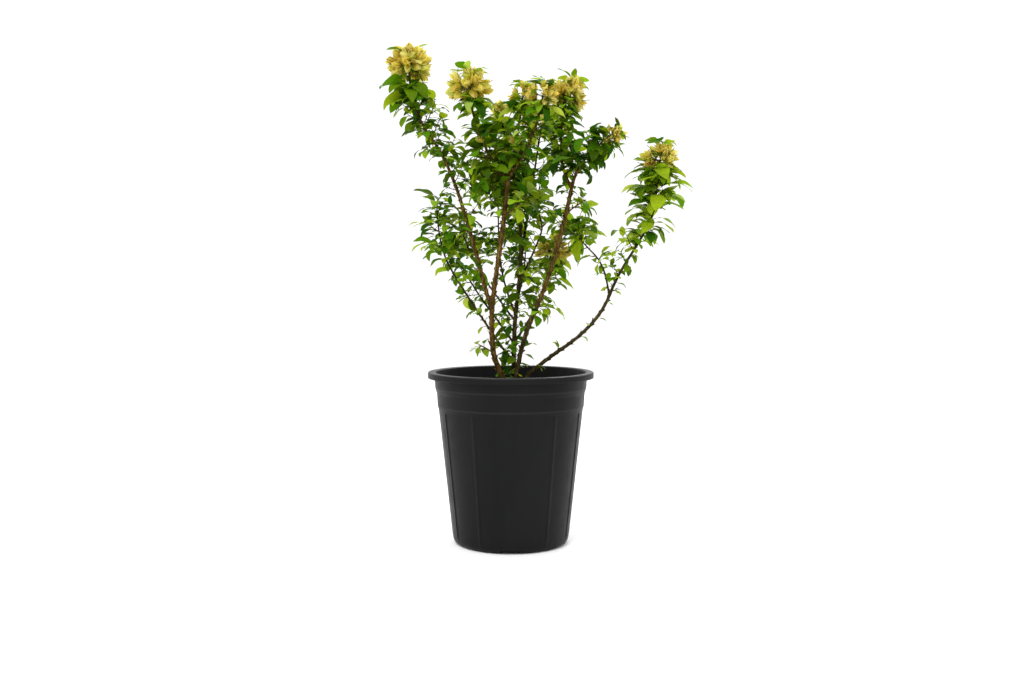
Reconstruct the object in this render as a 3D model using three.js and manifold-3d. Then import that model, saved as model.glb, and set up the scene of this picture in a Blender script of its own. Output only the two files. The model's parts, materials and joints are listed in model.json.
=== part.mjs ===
// A dwarf bougainvillea in a nursery pot: stems from one root, forked boughs, leafy shoots and bract heads.
// Millimetres, +Z up. The origin is the centre of the pot's flat underside, and the front faces -Y.
import * as THREE from "three";
import { mergeVertices } from "three/addons/utils/BufferGeometryUtils.js";
import Module from "manifold-3d";

const wasm = await Module();
wasm.setup();

// Clearance between pieces that touch on the real plant
const GAP = 0.3;

// Pot: rim, stepped collar, tapering panel wall and rounded foot
const POT_SEGMENTS = 32;
const POT_HEIGHT = 259;
const RIM_RADIUS = 125;
const RIM_THICKNESS = 3;
const RIM_ROUND = 2.4;
const LIP_DEPTH = 9;
const LIP_THICKNESS = 2.6;
const WALL_THICKNESS = 2.4;
const COLLAR_RADIUS = 115.5;
const UPPER_STEP = { top: 235, foot: 227, outer: 114, inner: 111.6 };
const LOWER_STEP = { top: 208, foot: 202, outer: 110.4, inner: 108.8 };
const FOOT_RADIUS = 88.5;
const FOOT_ROUND = 12;
const FLOOR_THICKNESS = 3;
const RIB = { count: 11, first: -87, width: 2.4, proud: 0.8, sunk: 1.6, foot: 16, top: 199 };
const DRAIN_SLOT = { count: 4, first: -90, width: 30, inset: 16, depth: 24, height: 5 };

// Potting mix
const MIX_TOP = 226;

// Limbs: ring spacing and sides of the tapered tubes, depth below the mix where a stem's line begins
const TRACE_STEP = 10;
const RING_SPACING = 20;
const LIMB_SIDES = 6;
const SHOOT_SIDES = 4;
const ROOT_DEPTH = 8;
const ROOT_FLARE = 0.4;
const ROOT_FLARE_REACH = 9;
const FORK_REACH = 0.03;

// Blades: sizes are shares of the length, spread is the room between leaves of one mass
const BLADE_THICKNESS = 1.1;
const LEAF_SHAPE = { width: 0.6, widest: 0.46, fold: 0.06, droop: 0.24, spread: 3.6 };
const BRACT_SHAPE = { width: 0.6, widest: 0.64, fold: 0.08, droop: 0.02, spread: 0 };
const BLADE_SHRINK = [1, 0.8, 0.62];
const BLADE_SAMPLES = { along: [0.5, 0.75, 1], across: [-1, -0.5, 0, 0.5, 1], outermost: 0.8 };

// Leaves in spiral order: pitch from the shoot at its base and tip, and how far each one strays
const SPIRAL_TURN = 137.5;
const TURN_STRAY = 15;
const FIRST_LEAF = 7;
const LEAF_PITCH = [95, 68];
const PITCH_STRAY = 12;
const LEAF_ROLL = 1.2;
const LEAF_SIZE_STRAY = 0.18;

// Side twigs: one to every few leaves, leaving the shoot at a pitch and curving up
const TWIG_EVERY = 3;
const TWIG_PITCH = 52;
const TWIG_GIRTH = [2, 1.2];
const TWIG_SIDES = 3;
const TWIG_BEND = 0.55;
const TWIG_RISE = 0.18;
const TWIG_LENGTH_STRAY = 0.25;
const TWIG_LAST = 0.86;
const TWIG_LEAFY = 0.4;
const TWIG_LEAF_SPACING = 8;

// Bract heads: core size as a share of a bract, and the bracts' angles from the shoot, first to last
const HEAD_CORE = 0.4;
const HEAD_SPREAD = [14, 116];
const HEAD_TURN_STRAY = 10;
const BRACT_ROLL = 0.5;
const BRACT_SIZE_STRAY = 0.15;

// Room that a mass keeps to its neighbours, to bare limbs and to the pot and mix
const OWN_SPACE_MARGIN = 1.4;
const LIMB_MARGIN = 2.2;
const POT_MARGIN = 5;

// Every limb leaves its parent at a share of the parent's length, or stands in the mix at a foot.
// heading is the bearing from above (0 is +X, 90 is +Y) and lean the angle from upright, in degrees
// at evenly spaced stations from base to tip. girth is the thickness at base and tip.
// leafy is the share of the length where the foliage begins, and 1 is a bare limb.
const LIMBS = [
  {
    name: "left", kind: "stem", foot: [-5, -7], length: 145, girth: [8.4, 7.4],
    leafy: 1, heading: [225, 206, 262, 270], lean: [11, 27, 11, 11],
  },
  {
    name: "left_inner", kind: "bough", parent: "left", at: 0.99, length: 194, girth: [7.2, 6.2],
    leafy: 1, heading: [302, 313, 321], lean: [14, 12, 7],
  },
  {
    name: "front", parent: "left_inner", at: 0.99, length: 130, girth: [4.4, 2.8],
    leafy: 0, heading: [330, 307, 317], lean: [43, 37, 10],
    leaf: [38, 42], spacing: 9, twig: 24, head: { bracts: 9, size: 19 },
  },
  {
    name: "left_upright", parent: "left_inner", at: 0.97, length: 150, girth: [4.2, 2.8],
    leafy: 0, heading: [161, 149, 152, 104], lean: [45, 30, 23, 8],
    leaf: [36, 36], spacing: 9, twig: 26, head: { bracts: 14, size: 33 },
  },
  {
    name: "front_upright", parent: "left_inner", at: 0.985, length: 122, girth: [3.6, 2.6],
    leafy: 0, heading: [30, 60, 40], lean: [10, 8, 4],
    leaf: [36, 38], spacing: 10, twig: 22, head: { bracts: 9, size: 18 },
  },
  {
    name: "left_outer", kind: "bough", parent: "left", at: 0.985, length: 394, girth: [6, 3.2],
    leafy: 0.53, heading: [165, 163, 158, 151, 153, 165, 165, 115], lean: [19, 15, 17, 20, 27, 38, 17, 2],
    leaf: [34, 44], spacing: 9, twig: 26, head: { bracts: 14, size: 34 },
  },
  {
    name: "centre", kind: "stem", foot: [4, 9], length: 445, girth: [7.2, 3],
    leafy: 0.54, heading: [90, 80, 41, 75, 127, 149, 146], lean: [2, 7, 9, 6, 12, 15, 9],
    leaf: [40, 38], spacing: 9, twig: 36, head: { bracts: 9, size: 20 },
  },
  {
    name: "left_low", kind: "bough", parent: "centre", at: 0.12, length: 299, girth: [3.8, 2],
    leafy: 0.6, heading: [156, 152, 154, 166, 160, 60], lean: [41, 38, 37, 31, 8, 16],
    leaf: [28, 30], spacing: 8, twig: 40,
  },
  {
    name: "left_back", kind: "bough", parent: "centre", at: 0.185, length: 216, girth: [3.4, 2],
    leafy: 0.46, heading: [132, 134, 135, 135], lean: [46, 49, 41, 27],
    leaf: [28, 30], spacing: 8, twig: 38,
  },
  {
    name: "left_middle", kind: "bough", parent: "centre", at: 0.262, length: 196, girth: [3, 1.8],
    leafy: 0.4, heading: [146, 151, 149, 150], lean: [42, 40, 29, 14],
    leaf: [28, 32], spacing: 8, twig: 34,
  },
  {
    name: "centre_left", kind: "bough", parent: "centre", at: 0.288, length: 239, girth: [3, 1.8],
    leafy: 0.4, heading: [130, 122, 104, 94, 130], lean: [37, 25, 12, 7, 11],
    leaf: [30, 36], spacing: 9, twig: 34,
  },
  {
    name: "right_low", kind: "bough", parent: "centre", at: 0.188, length: 180, girth: [3.8, 2.4],
    leafy: 0.34, heading: [36, 45, 42, 34], lean: [42, 40, 22, 11],
    leaf: [34, 36], spacing: 9, twig: 28, head: { bracts: 12, size: 27 },
  },
  {
    name: "centre_right", kind: "bough", parent: "centre", at: 0.4, length: 150, girth: [3, 2],
    leafy: 0.34, heading: [320, 345, 0], lean: [34, 22, 12],
    leaf: [34, 36], spacing: 9, twig: 30,
  },
  {
    name: "back", kind: "bough", parent: "centre", at: 0.45, length: 246, girth: [4.2, 2.6],
    leafy: 0.34, heading: [73, 67, 61], lean: [26, 22, 17],
    leaf: [38, 38], spacing: 10, twig: 36, head: { bracts: 12, size: 27 },
  },
  {
    name: "right", kind: "stem", foot: [5, -10], length: 335, girth: [7.4, 6],
    leafy: 1, heading: [332, 345, 343, 346, 346, 350], lean: [3, 13, 25, 18, 14, 12],
  },
  {
    name: "right_upright", parent: "right", at: 0.975, length: 157, girth: [4.2, 2.8],
    leafy: 0, heading: [169, 96, 75, 57], lean: [29, 20, 23, 19],
    leaf: [38, 40], spacing: 9, twig: 26, head: { bracts: 14, size: 30 },
  },
  {
    name: "right_side", parent: "right", at: 0.99, length: 95, girth: [4.4, 2.8],
    leafy: 0, heading: [302, 321, 345], lean: [26, 49, 58],
    leaf: [38, 40], spacing: 9, twig: 24, head: { bracts: 11, size: 24 },
  },
  {
    name: "far_right", kind: "stem", foot: [8, 0], length: 440, girth: [6.2, 2.8],
    leafy: 0.5, heading: [8, 8, 9, 8, 8, -2, -9, -60, -30], lean: [14, 52, 57, 43, 22, 32, 30, 7, 8],
    leaf: [30, 42], spacing: 8, twig: 22, head: { bracts: 13, size: 27 },
  },
  {
    name: "far_right_inner", kind: "bough", parent: "far_right", at: 0.49, length: 150, girth: [3, 1.8],
    leafy: 0.3, heading: [114, 133, 145, 153, 153], lean: [12, 22, 48, 43, 23],
    leaf: [30, 36], spacing: 9, twig: 24,
  },
  {
    name: "front_spray", parent: "left_inner", at: 0.7, length: 46, girth: [2.4, 1.8],
    leafy: 0, heading: [325, 330], lean: [58, 50], leaf: [40, 40], spacing: 8, twig: 0,
  },
  {
    name: "right_spray", parent: "right", at: 0.86, length: 36, girth: [2.4, 1.8],
    leafy: 0, heading: [345, 350], lean: [50, 62], leaf: [36, 36], spacing: 7, twig: 0,
  },
  {
    name: "right_low_spray", parent: "right", at: 0.38, length: 26, girth: [2.2, 1.6],
    leafy: 0, heading: [320, 330], lean: [60, 70], leaf: [30, 30], spacing: 7, twig: 0,
  },
  {
    name: "left_low_spray", parent: "left", at: 0.52, length: 26, girth: [2.2, 1.6],
    leafy: 0, heading: [190, 190], lean: [56, 66], leaf: [28, 28], spacing: 7, twig: 0,
  },
  {
    name: "back_spray", kind: "bough", parent: "centre", at: 0.34, length: 112, girth: [3, 1.8],
    leafy: 0.4, heading: [72, 80, 84], lean: [48, 42, 30], leaf: [30, 32], spacing: 9, twig: 28,
  },
  {
    name: "foot_spray", parent: "centre", at: 0.055, length: 30, girth: [2.2, 1.6],
    leafy: 0, heading: [205, 215], lean: [40, 34], leaf: [24, 24], spacing: 6, twig: 0,
  },
];

// Colours and finish
const FINISH = {
  pot: { color: 0x26282a, roughness: 0.5, metalness: 0 },
  mix: { color: 0x2a1d14, roughness: 0.95, metalness: 0 },
  bark: { color: 0x6b4530, roughness: 0.85, metalness: 0 },
  foliage: { color: 0x3f7a12, roughness: 0.55, metalness: 0 },
};

const plant = new THREE.Group();
const UP = new THREE.Vector3(0, 0, 1);
const FRAME_SIDE = new THREE.Vector3(0, 1, 0);
const radians = THREE.MathUtils.degToRad;
const { lerp } = THREE.MathUtils;

// Repeatable random numbers from 0 to 1
function seeded(seed) {
  let state = seed;
  return () => {
    state = (state + 0x6d2b79f5) | 0;
    let mixed = Math.imul(state ^ (state >>> 15), 1 | state);
    mixed = (mixed + Math.imul(mixed ^ (mixed >>> 7), 61 | mixed)) ^ mixed;
    return ((mixed ^ (mixed >>> 14)) >>> 0) / 4294967296;
  };
}

// A random value between minus and plus an amount
function stray(random, amount) {
  return (2 * random() - 1) * amount;
}

// Closed geometry to a solid for joining and cutting
function toSolid(geometry) {
  geometry.deleteAttribute("normal");
  geometry.deleteAttribute("uv");
  const merged = mergeVertices(geometry);
  const mesh = new wasm.Mesh({
    numProp: 3,
    vertProperties: merged.attributes.position.array,
    triVerts: new Uint32Array(merged.index.array),
  });
  return new wasm.Manifold(mesh);
}

// The largest body of a solid, so that scraps are dropped and sealed hollows are filled
function mainBody(solid) {
  const bodies = solid.decompose();
  return bodies.reduce((best, body) => (body.volume() > best.volume() ? body : best));
}

function addNode(name, solid, finish) {
  const { vertProperties, triVerts } = solid.getMesh();
  const geometry = new THREE.BufferGeometry();
  geometry.setAttribute("position", new THREE.BufferAttribute(vertProperties, 3));
  geometry.setIndex(new THREE.BufferAttribute(triVerts, 1));
  geometry.computeVertexNormals();
  const mesh = new THREE.Mesh(geometry, new THREE.MeshStandardMaterial(finish));
  mesh.name = name;
  plant.add(mesh);
}

// A profile of [radius, height] turned about the upright axis
function turned(points) {
  const lathe = new THREE.LatheGeometry(points, POT_SEGMENTS);
  return toSolid(lathe.rotateX(Math.PI / 2));
}

// Outside of the stepped collar, from the lower step up to the rim
function collarCorners() {
  return [
    [LOWER_STEP.inner, LOWER_STEP.foot],
    [LOWER_STEP.outer, LOWER_STEP.top],
    [UPPER_STEP.inner, UPPER_STEP.foot],
    [UPPER_STEP.outer, UPPER_STEP.top],
    [COLLAR_RADIUS, POT_HEIGHT - RIM_THICKNESS],
  ].map(([radius, height]) => new THREE.Vector2(radius, height));
}

// The rounded foot from the axis outwards, moved in by an inset from the outside
function footCurve(inset, arcSteps) {
  const path = new THREE.Path();
  const round = FOOT_ROUND - inset;
  path.moveTo(0, inset);
  path.lineTo(FOOT_RADIUS - FOOT_ROUND, inset);
  path.absarc(FOOT_RADIUS - FOOT_ROUND, FOOT_ROUND, round, -Math.PI / 2, 0, false);
  return path.getPoints(arcSteps);
}

// Inside of the wall at a height above the lower step, where it runs straight to the rim
function insideRadius(height) {
  const share = (height - LOWER_STEP.foot) / (POT_HEIGHT - RIM_ROUND - LOWER_STEP.foot);
  return lerp(LOWER_STEP.inner, COLLAR_RADIUS, share) - WALL_THICKNESS;
}

function potProfile() {
  const rim = new THREE.Path();
  const top = POT_HEIGHT - RIM_ROUND;
  const mouth = insideRadius(top) + RIM_ROUND;
  rim.moveTo(RIM_RADIUS - LIP_THICKNESS, POT_HEIGHT - RIM_THICKNESS);
  rim.lineTo(RIM_RADIUS - LIP_THICKNESS, POT_HEIGHT - LIP_DEPTH);
  rim.lineTo(RIM_RADIUS, POT_HEIGHT - LIP_DEPTH);
  rim.lineTo(RIM_RADIUS, top);
  rim.absarc(RIM_RADIUS - RIM_ROUND, top, RIM_ROUND, 0, Math.PI / 2, false);
  rim.lineTo(mouth, POT_HEIGHT);
  rim.absarc(mouth, top, RIM_ROUND, Math.PI / 2, Math.PI, false);
  const low = new THREE.Vector2(insideRadius(LOWER_STEP.foot), LOWER_STEP.foot);
  const outside = [...footCurve(0, 2), ...collarCorners()];
  const inside = [low, ...footCurve(FLOOR_THICKNESS, 1).reverse()];
  return [...outside, ...rim.getPoints(1), ...inside];
}

// Radius of the panel wall's outside at a height
function panelRadius(height) {
  const share = (height - FOOT_ROUND) / (LOWER_STEP.foot - FOOT_ROUND);
  return lerp(FOOT_RADIUS, LOWER_STEP.inner, share);
}

// One upright rib on the panel wall, at a bearing
function rib(bearing) {
  const low = panelRadius(RIB.foot);
  const high = panelRadius(RIB.top);
  const section = new THREE.Shape();
  section.moveTo(low - RIB.sunk, RIB.foot);
  section.lineTo(low + RIB.proud, RIB.foot);
  section.lineTo(high + RIB.proud, RIB.top);
  section.lineTo(high - RIB.sunk, RIB.top);
  const bar = new THREE.ExtrudeGeometry(section, { depth: RIB.width, bevelEnabled: false });
  bar.translate(0, 0, -RIB.width / 2).rotateX(Math.PI / 2).rotateZ(radians(bearing));
  return toSolid(bar);
}

// One slot through the pot's rounded foot, at a bearing
function drainSlot(bearing) {
  const slot = new THREE.BoxGeometry(DRAIN_SLOT.depth, DRAIN_SLOT.width, DRAIN_SLOT.height * 2);
  slot.translate(FOOT_RADIUS - DRAIN_SLOT.inset + DRAIN_SLOT.depth / 2, 0, 0).rotateZ(radians(bearing));
  return toSolid(slot);
}

function ring(count, first, make) {
  return Array.from({ length: count }, (_, i) => make(first + (i * 360) / count));
}

function makePot() {
  const ribs = ring(RIB.count, RIB.first, rib);
  const slots = ring(DRAIN_SLOT.count, DRAIN_SLOT.first, drainSlot);
  const shell = wasm.Manifold.union([turned(potProfile()), ...ribs]);
  return slots.reduce((pot, slot) => pot.subtract(slot), shell);
}

// The mix fills the pot to its level, clear of the wall and the floor
function makeMix() {
  const onWall = (height) => new THREE.Vector2(insideRadius(height) - GAP, height);
  const foot = footCurve(FLOOR_THICKNESS + GAP, 1);
  return turned([...foot, onWall(LOWER_STEP.foot), onWall(MIX_TOP), new THREE.Vector2(0, MIX_TOP)]);
}

// Value at a share of the way along evenly spaced stations
function atStation(stations, share) {
  const place = share * (stations.length - 1);
  const index = Math.min(Math.floor(place), stations.length - 2);
  return lerp(stations[index], stations[index + 1], place - index);
}

// The centre line of a limb from its start, by its heading and lean
function traceLimb(start, { heading, lean, length }) {
  const steps = Math.ceil(length / TRACE_STEP);
  const points = [start.clone()];
  for (let i = 0; i < steps; i += 1) {
    const bearing = radians(atStation(heading, (i + 0.5) / steps));
    const tilt = radians(atStation(lean, (i + 0.5) / steps));
    const flat = Math.sin(tilt);
    const direction = new THREE.Vector3(flat * Math.cos(bearing), flat * Math.sin(bearing), Math.cos(tilt));
    points.push(points[i].clone().addScaledVector(direction, length / steps));
  }
  return new THREE.CatmullRomCurve3(points);
}

// Point, tangent and two cross directions on a curve
function frameAt(curve, share) {
  const tangent = curve.getTangentAt(share);
  const side = FRAME_SIDE.clone().cross(tangent).normalize();
  return { point: curve.getPointAt(share), tangent, side, depth: side.clone().cross(tangent) };
}

// Direction across a frame at a turn in degrees
function radialAt({ side, depth }, turn) {
  const angle = radians(turn);
  return side.clone().multiplyScalar(Math.cos(angle)).addScaledVector(depth, Math.sin(angle));
}

// Direction at a turn round a frame, pitched away from its tangent by an angle in radians
function pitchedFrom(frame, turn, pitch) {
  const outward = radialAt(frame, turn).multiplyScalar(Math.sin(pitch));
  return outward.addScaledVector(frame.tangent, Math.cos(pitch));
}

// A capped tube along a stretch of a curve, with its radius worked out at each share
function taperedTube(curve, [from, to], radiusAt, sides) {
  const rings = Math.max(2, Math.round(((to - from) * curve.getLength()) / RING_SPACING));
  const tube = new THREE.CylinderGeometry(1, 1, 1, sides, rings);
  const { position } = tube.attributes;
  for (let i = 0; i < position.count; i += 1) {
    const share = lerp(from, to, position.getY(i) + 0.5);
    const { point, side, depth } = frameAt(curve, share);
    const radius = radiusAt(share);
    point.addScaledVector(side, position.getX(i) * radius);
    point.addScaledVector(depth, position.getZ(i) * radius);
    position.setXYZ(i, ...point.toArray());
  }
  return toSolid(tube);
}

// Centre lines and thickness of all limbs, each from its parent
function layOutLimbs() {
  const laid = new Map();
  LIMBS.forEach((plan, index) => {
    const parent = laid.get(plan.parent);
    const start = parent
      ? parent.curve.getPointAt(plan.at)
      : new THREE.Vector3(...plan.foot, MIX_TOP - ROOT_DEPTH);
    const curve = traceLimb(start, plan);
    const length = curve.getLength();
    const radiusAt = (share) => {
      const above = share * length - ROOT_DEPTH;
      const flare = parent ? 0 : ROOT_FLARE * Math.exp(-Math.max(above, 0) / ROOT_FLARE_REACH);
      return (lerp(plan.girth[0], plan.girth[1], share) / 2) * (1 + flare);
    };
    const line = curve.getSpacedPoints(Math.ceil(length / TRACE_STEP));
    laid.set(plan.name, { ...plan, seed: index + 1, parent, curve, length, radiusAt, line });
  });
  return laid;
}

const limbs = layOutLimbs();

// Points of a limb's centre line between two shares of its length
function lineBetween(limb, from, to) {
  const last = limb.line.length - 1;
  return limb.line.filter((_, i) => i / last >= from - 0.5 / last && i / last <= to + 0.5 / last);
}

const segment = new THREE.Line3();
const nearest = new THREE.Vector3();

function distanceToLine(point, line) {
  let best = Infinity;
  for (let i = 0; i + 1 < line.length; i += 1) {
    segment.set(line[i], line[i + 1]).closestPointToPoint(point, true, nearest);
    best = Math.min(best, nearest.distanceTo(point));
  }
  return best;
}

const bareLines = [];
const leafyLines = new Map();
limbs.forEach((limb) => {
  if (limb.leafy > 0) {
    const radius = limb.radiusAt(limb.leafy / 2);
    bareLines.push({ line: lineBetween(limb, 0, limb.leafy), radius });
  }
  if (limb.leafy < 1) {
    leafyLines.set(limb.name, lineBetween(limb, limb.leafy, 1));
  }
});

// A point is free where it is nearest to its own shoot, clear of bare limbs and clear of the pot and mix
function isFree(point, owner) {
  if (point.z < MIX_TOP + POT_MARGIN) {
    return false;
  }
  const inside = COLLAR_RADIUS - WALL_THICKNESS - POT_MARGIN;
  if (point.z < POT_HEIGHT + POT_MARGIN && Math.hypot(point.x, point.y) > inside) {
    return false;
  }
  if (bareLines.some(({ line, radius }) => distanceToLine(point, line) < radius + LIMB_MARGIN)) {
    return false;
  }
  const own = distanceToLine(point, leafyLines.get(owner));
  for (const [name, line] of leafyLines) {
    if (name !== owner && distanceToLine(point, line) < own + OWN_SPACE_MARGIN) {
      return false;
    }
  }
  return true;
}

// Middle and tip of a blade that droops from its root along a direction
function bladeSpine({ root, direction, length, shape }) {
  const middle = root.clone().addScaledVector(direction, length * shape.widest);
  const tip = root.clone().addScaledVector(direction, length).addScaledVector(UP, -length * shape.droop);
  return { middle, tip };
}

// Points over a blade, to test the room it takes
function bladeSamples(blade) {
  const { middle, tip } = bladeSpine(blade);
  const half = (blade.length * blade.shape.width) / 2;
  const samples = [tip];
  for (const share of BLADE_SAMPLES.along) {
    const outward = share * BLADE_SAMPLES.outermost;
    for (const across of BLADE_SAMPLES.across) {
      const inner = blade.root.clone().lerp(middle, share);
      samples.push(inner.addScaledVector(blade.right, across * half * share));
      const outer = middle.clone().lerp(tip, outward);
      samples.push(outer.addScaledVector(blade.right, across * half * (1 - outward)));
    }
  }
  return samples;
}

// An eight-faced blade: root, right edge, tip, left edge, ridge and keel
function bladeSolid(blade) {
  const { root, normal, right, length, shape } = blade;
  const { middle, tip } = bladeSpine(blade);
  const half = (length * shape.width) / 2;
  const raised = middle.clone().addScaledVector(normal, length * shape.fold);
  const corners = [
    root,
    raised.clone().addScaledVector(right, half),
    tip,
    raised.clone().addScaledVector(right, -half),
    middle.clone().addScaledVector(normal, BLADE_THICKNESS / 2),
    middle.clone().addScaledVector(normal, -BLADE_THICKNESS / 2),
  ];
  const geometry = new THREE.BufferGeometry().setFromPoints(corners);
  const faces = [0, 1, 2, 3].flatMap((i) => {
    const next = (i + 1) % 4;
    return [i, next, 4, next, i, 5];
  });
  geometry.setIndex(faces);
  return toSolid(geometry);
}

// A blade from a point on a shoot, its face turned towards a light direction, shortened until it has room
// in its mass and between the leaves placed before it
function placeBlade(mass, root, direction, light, length, shape) {
  const right = direction.clone().cross(light).normalize();
  const normal = right.clone().cross(direction);
  for (const share of BLADE_SHRINK) {
    const blade = { root, direction, normal, right, length: length * share, shape };
    const samples = bladeSamples(blade);
    const spread = shape.spread ** 2;
    const crowds = (point) => mass.taken.some((other) => point.distanceToSquared(other) < spread);
    if (!samples.some(crowds) && samples.every((point) => isFree(point, mass.limb.name))) {
      mass.taken.push(...samples);
      mass.pieces.push(bladeSolid(blade));
      return;
    }
  }
}

// Leaves in spiral order along a stretch of shoot
function addLeaves(mass, curve, [from, to], spacing) {
  const { limb, random } = mass;
  const length = curve.getLength();
  let turn = random() * 360;
  for (let run = from * length; run <= to * length; run += spacing) {
    const share = run / length;
    const frame = frameAt(curve, share);
    const pitch = radians(atStation(LEAF_PITCH, share) + stray(random, PITCH_STRAY));
    const direction = pitchedFrom(frame, turn, pitch);
    const size = atStation(limb.leaf, share) * (1 + stray(random, LEAF_SIZE_STRAY));
    const aside = radialAt(frame, turn + 90).multiplyScalar(stray(random, LEAF_ROLL));
    const light = aside.addScaledVector(frame.tangent, 0.5).add(UP);
    placeBlade(mass, frame.point, direction, light, size, LEAF_SHAPE);
    turn += SPIRAL_TURN + stray(random, TURN_STRAY);
  }
}

// A side twig that leaves the shoot at a turn and curves upwards, with its own leaves
function addTwig(mass, share, turn) {
  const { limb, random } = mass;
  const frame = frameAt(limb.curve, share);
  const length = limb.twig * (1 + stray(random, TWIG_LENGTH_STRAY));
  const pitch = radians(TWIG_PITCH);
  const direction = pitchedFrom(frame, turn, pitch);
  const bend = frame.point.clone().addScaledVector(direction, length * TWIG_BEND);
  const end = frame.point.clone().addScaledVector(direction, length);
  end.addScaledVector(UP, length * TWIG_RISE);
  const curve = new THREE.QuadraticBezierCurve3(frame.point, bend, end);
  const clear = curve.getSpacedPoints(6).slice(2).every((point) => isFree(point, limb.name));
  if (clear) {
    const radiusAt = (place) => lerp(TWIG_GIRTH[0], TWIG_GIRTH[1], place) / 2;
    mass.pieces.push(taperedTube(curve, [0, 1], radiusAt, TWIG_SIDES));
    addLeaves(mass, curve, [TWIG_LEAFY, 1], TWIG_LEAF_SPACING);
  }
}

function addTwigs(mass) {
  const { limb, random } = mass;
  const spacing = limb.spacing * TWIG_EVERY;
  const end = limb.length * TWIG_LAST;
  let turn = random() * 360;
  for (let run = limb.leafy * limb.length + FIRST_LEAF * 2; run < end; run += spacing) {
    addTwig(mass, run / limb.length, turn);
    turn += SPIRAL_TURN;
  }
}

// A head: a small core on the tip of the shoot, with bracts spread from it in spiral order
function addHead(mass) {
  const { limb, random } = mass;
  const { bracts, size } = limb.head;
  const frame = frameAt(limb.curve, 1);
  const root = frame.point;
  const core = new THREE.OctahedronGeometry(size * HEAD_CORE);
  mass.pieces.push(toSolid(core.translate(...root.toArray())));
  for (let i = 0; i < bracts; i += 1) {
    const polar = radians(lerp(HEAD_SPREAD[0], HEAD_SPREAD[1], (i + 0.5) / bracts));
    const direction = pitchedFrom(frame, i * SPIRAL_TURN + stray(random, HEAD_TURN_STRAY), polar);
    const light = frame.tangent.clone().addScaledVector(frame.side, stray(random, BRACT_ROLL));
    light.addScaledVector(frame.depth, stray(random, BRACT_ROLL));
    const length = size * (1 + stray(random, BRACT_SIZE_STRAY));
    placeBlade(mass, root, direction, light, length, BRACT_SHAPE);
  }
}

// The skin that a limb's neighbours keep clear of, over its whole length and just past its tip
function sheath(limb) {
  const radiusAt = (share) => limb.radiusAt(share) + GAP;
  const tip = frameAt(limb.curve, 1);
  const beyond = tip.point.clone().addScaledVector(tip.tangent, GAP);
  const points = [...limb.line, beyond];
  return taperedTube(new THREE.CatmullRomCurve3(points), [0, 1], radiusAt, LIMB_SIDES);
}

// What a limb is cut clear of where it leaves its parent: the parent, and limbs before it at the same fork
function cutters(limb) {
  const siblings = [...limbs.values()].filter((other) => other.parent === limb.parent);
  const before = siblings.filter((other) => other.seed < limb.seed);
  const fork = before.filter((other) => Math.abs(other.at - limb.at) < FORK_REACH);
  return [limb.parent, ...fork].map(sheath);
}

// The block under the level cut at a stem's foot
function ground() {
  const depth = ROOT_DEPTH * 4;
  const block = new THREE.BoxGeometry(RIM_RADIUS * 2, RIM_RADIUS * 2, depth);
  return toSolid(block.translate(0, 0, MIX_TOP + GAP - depth / 2));
}

function cutFree(limb, solid) {
  const tools = limb.parent ? cutters(limb) : [ground()];
  return mainBody(tools.reduce((body, tool) => body.subtract(tool), solid));
}

function makeBareLimb(limb) {
  const tube = taperedTube(limb.curve, [0, limb.leafy], limb.radiusAt, LIMB_SIDES);
  return cutFree(limb, tube);
}

function makeFoliage(limb) {
  const start = limb.leafy > 0 ? limb.leafy + GAP / limb.length : 0;
  const shoot = taperedTube(limb.curve, [start, 1], limb.radiusAt, SHOOT_SIDES);
  const mass = { limb, random: seeded(limb.seed), taken: [], pieces: [shoot] };
  if (limb.head) {
    addHead(mass);
  }
  if (limb.twig) {
    addTwigs(mass);
  }
  const leafStart = start + FIRST_LEAF / limb.length;
  addLeaves(mass, limb.curve, [leafStart, 1], limb.spacing);
  const joined = wasm.Manifold.union(mass.pieces);
  return limb.leafy > 0 ? mainBody(joined) : cutFree(limb, joined);
}

addNode("pot", makePot(), FINISH.pot);
addNode("potting_mix", makeMix(), FINISH.mix);
limbs.forEach((limb) => {
  if (limb.leafy > 0) {
    addNode(`${limb.kind}_${limb.name}`, makeBareLimb(limb), FINISH.bark);
  }
  if (limb.leafy < 1) {
    addNode(`foliage_${limb.name}`, makeFoliage(limb), FINISH.foliage);
  }
});

export default plant;
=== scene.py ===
# The looks of a dwarf bougainvillea in a nursery pot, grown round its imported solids.
# Sizes are millimetres and angles degrees, turned to metres and radians where they are used.
# +Z is up, the origin is the centre of the pot's underside, and the front faces -Y.
import json
import math
import random

import bpy
import numpy as np
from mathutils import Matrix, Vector, noise

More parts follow.
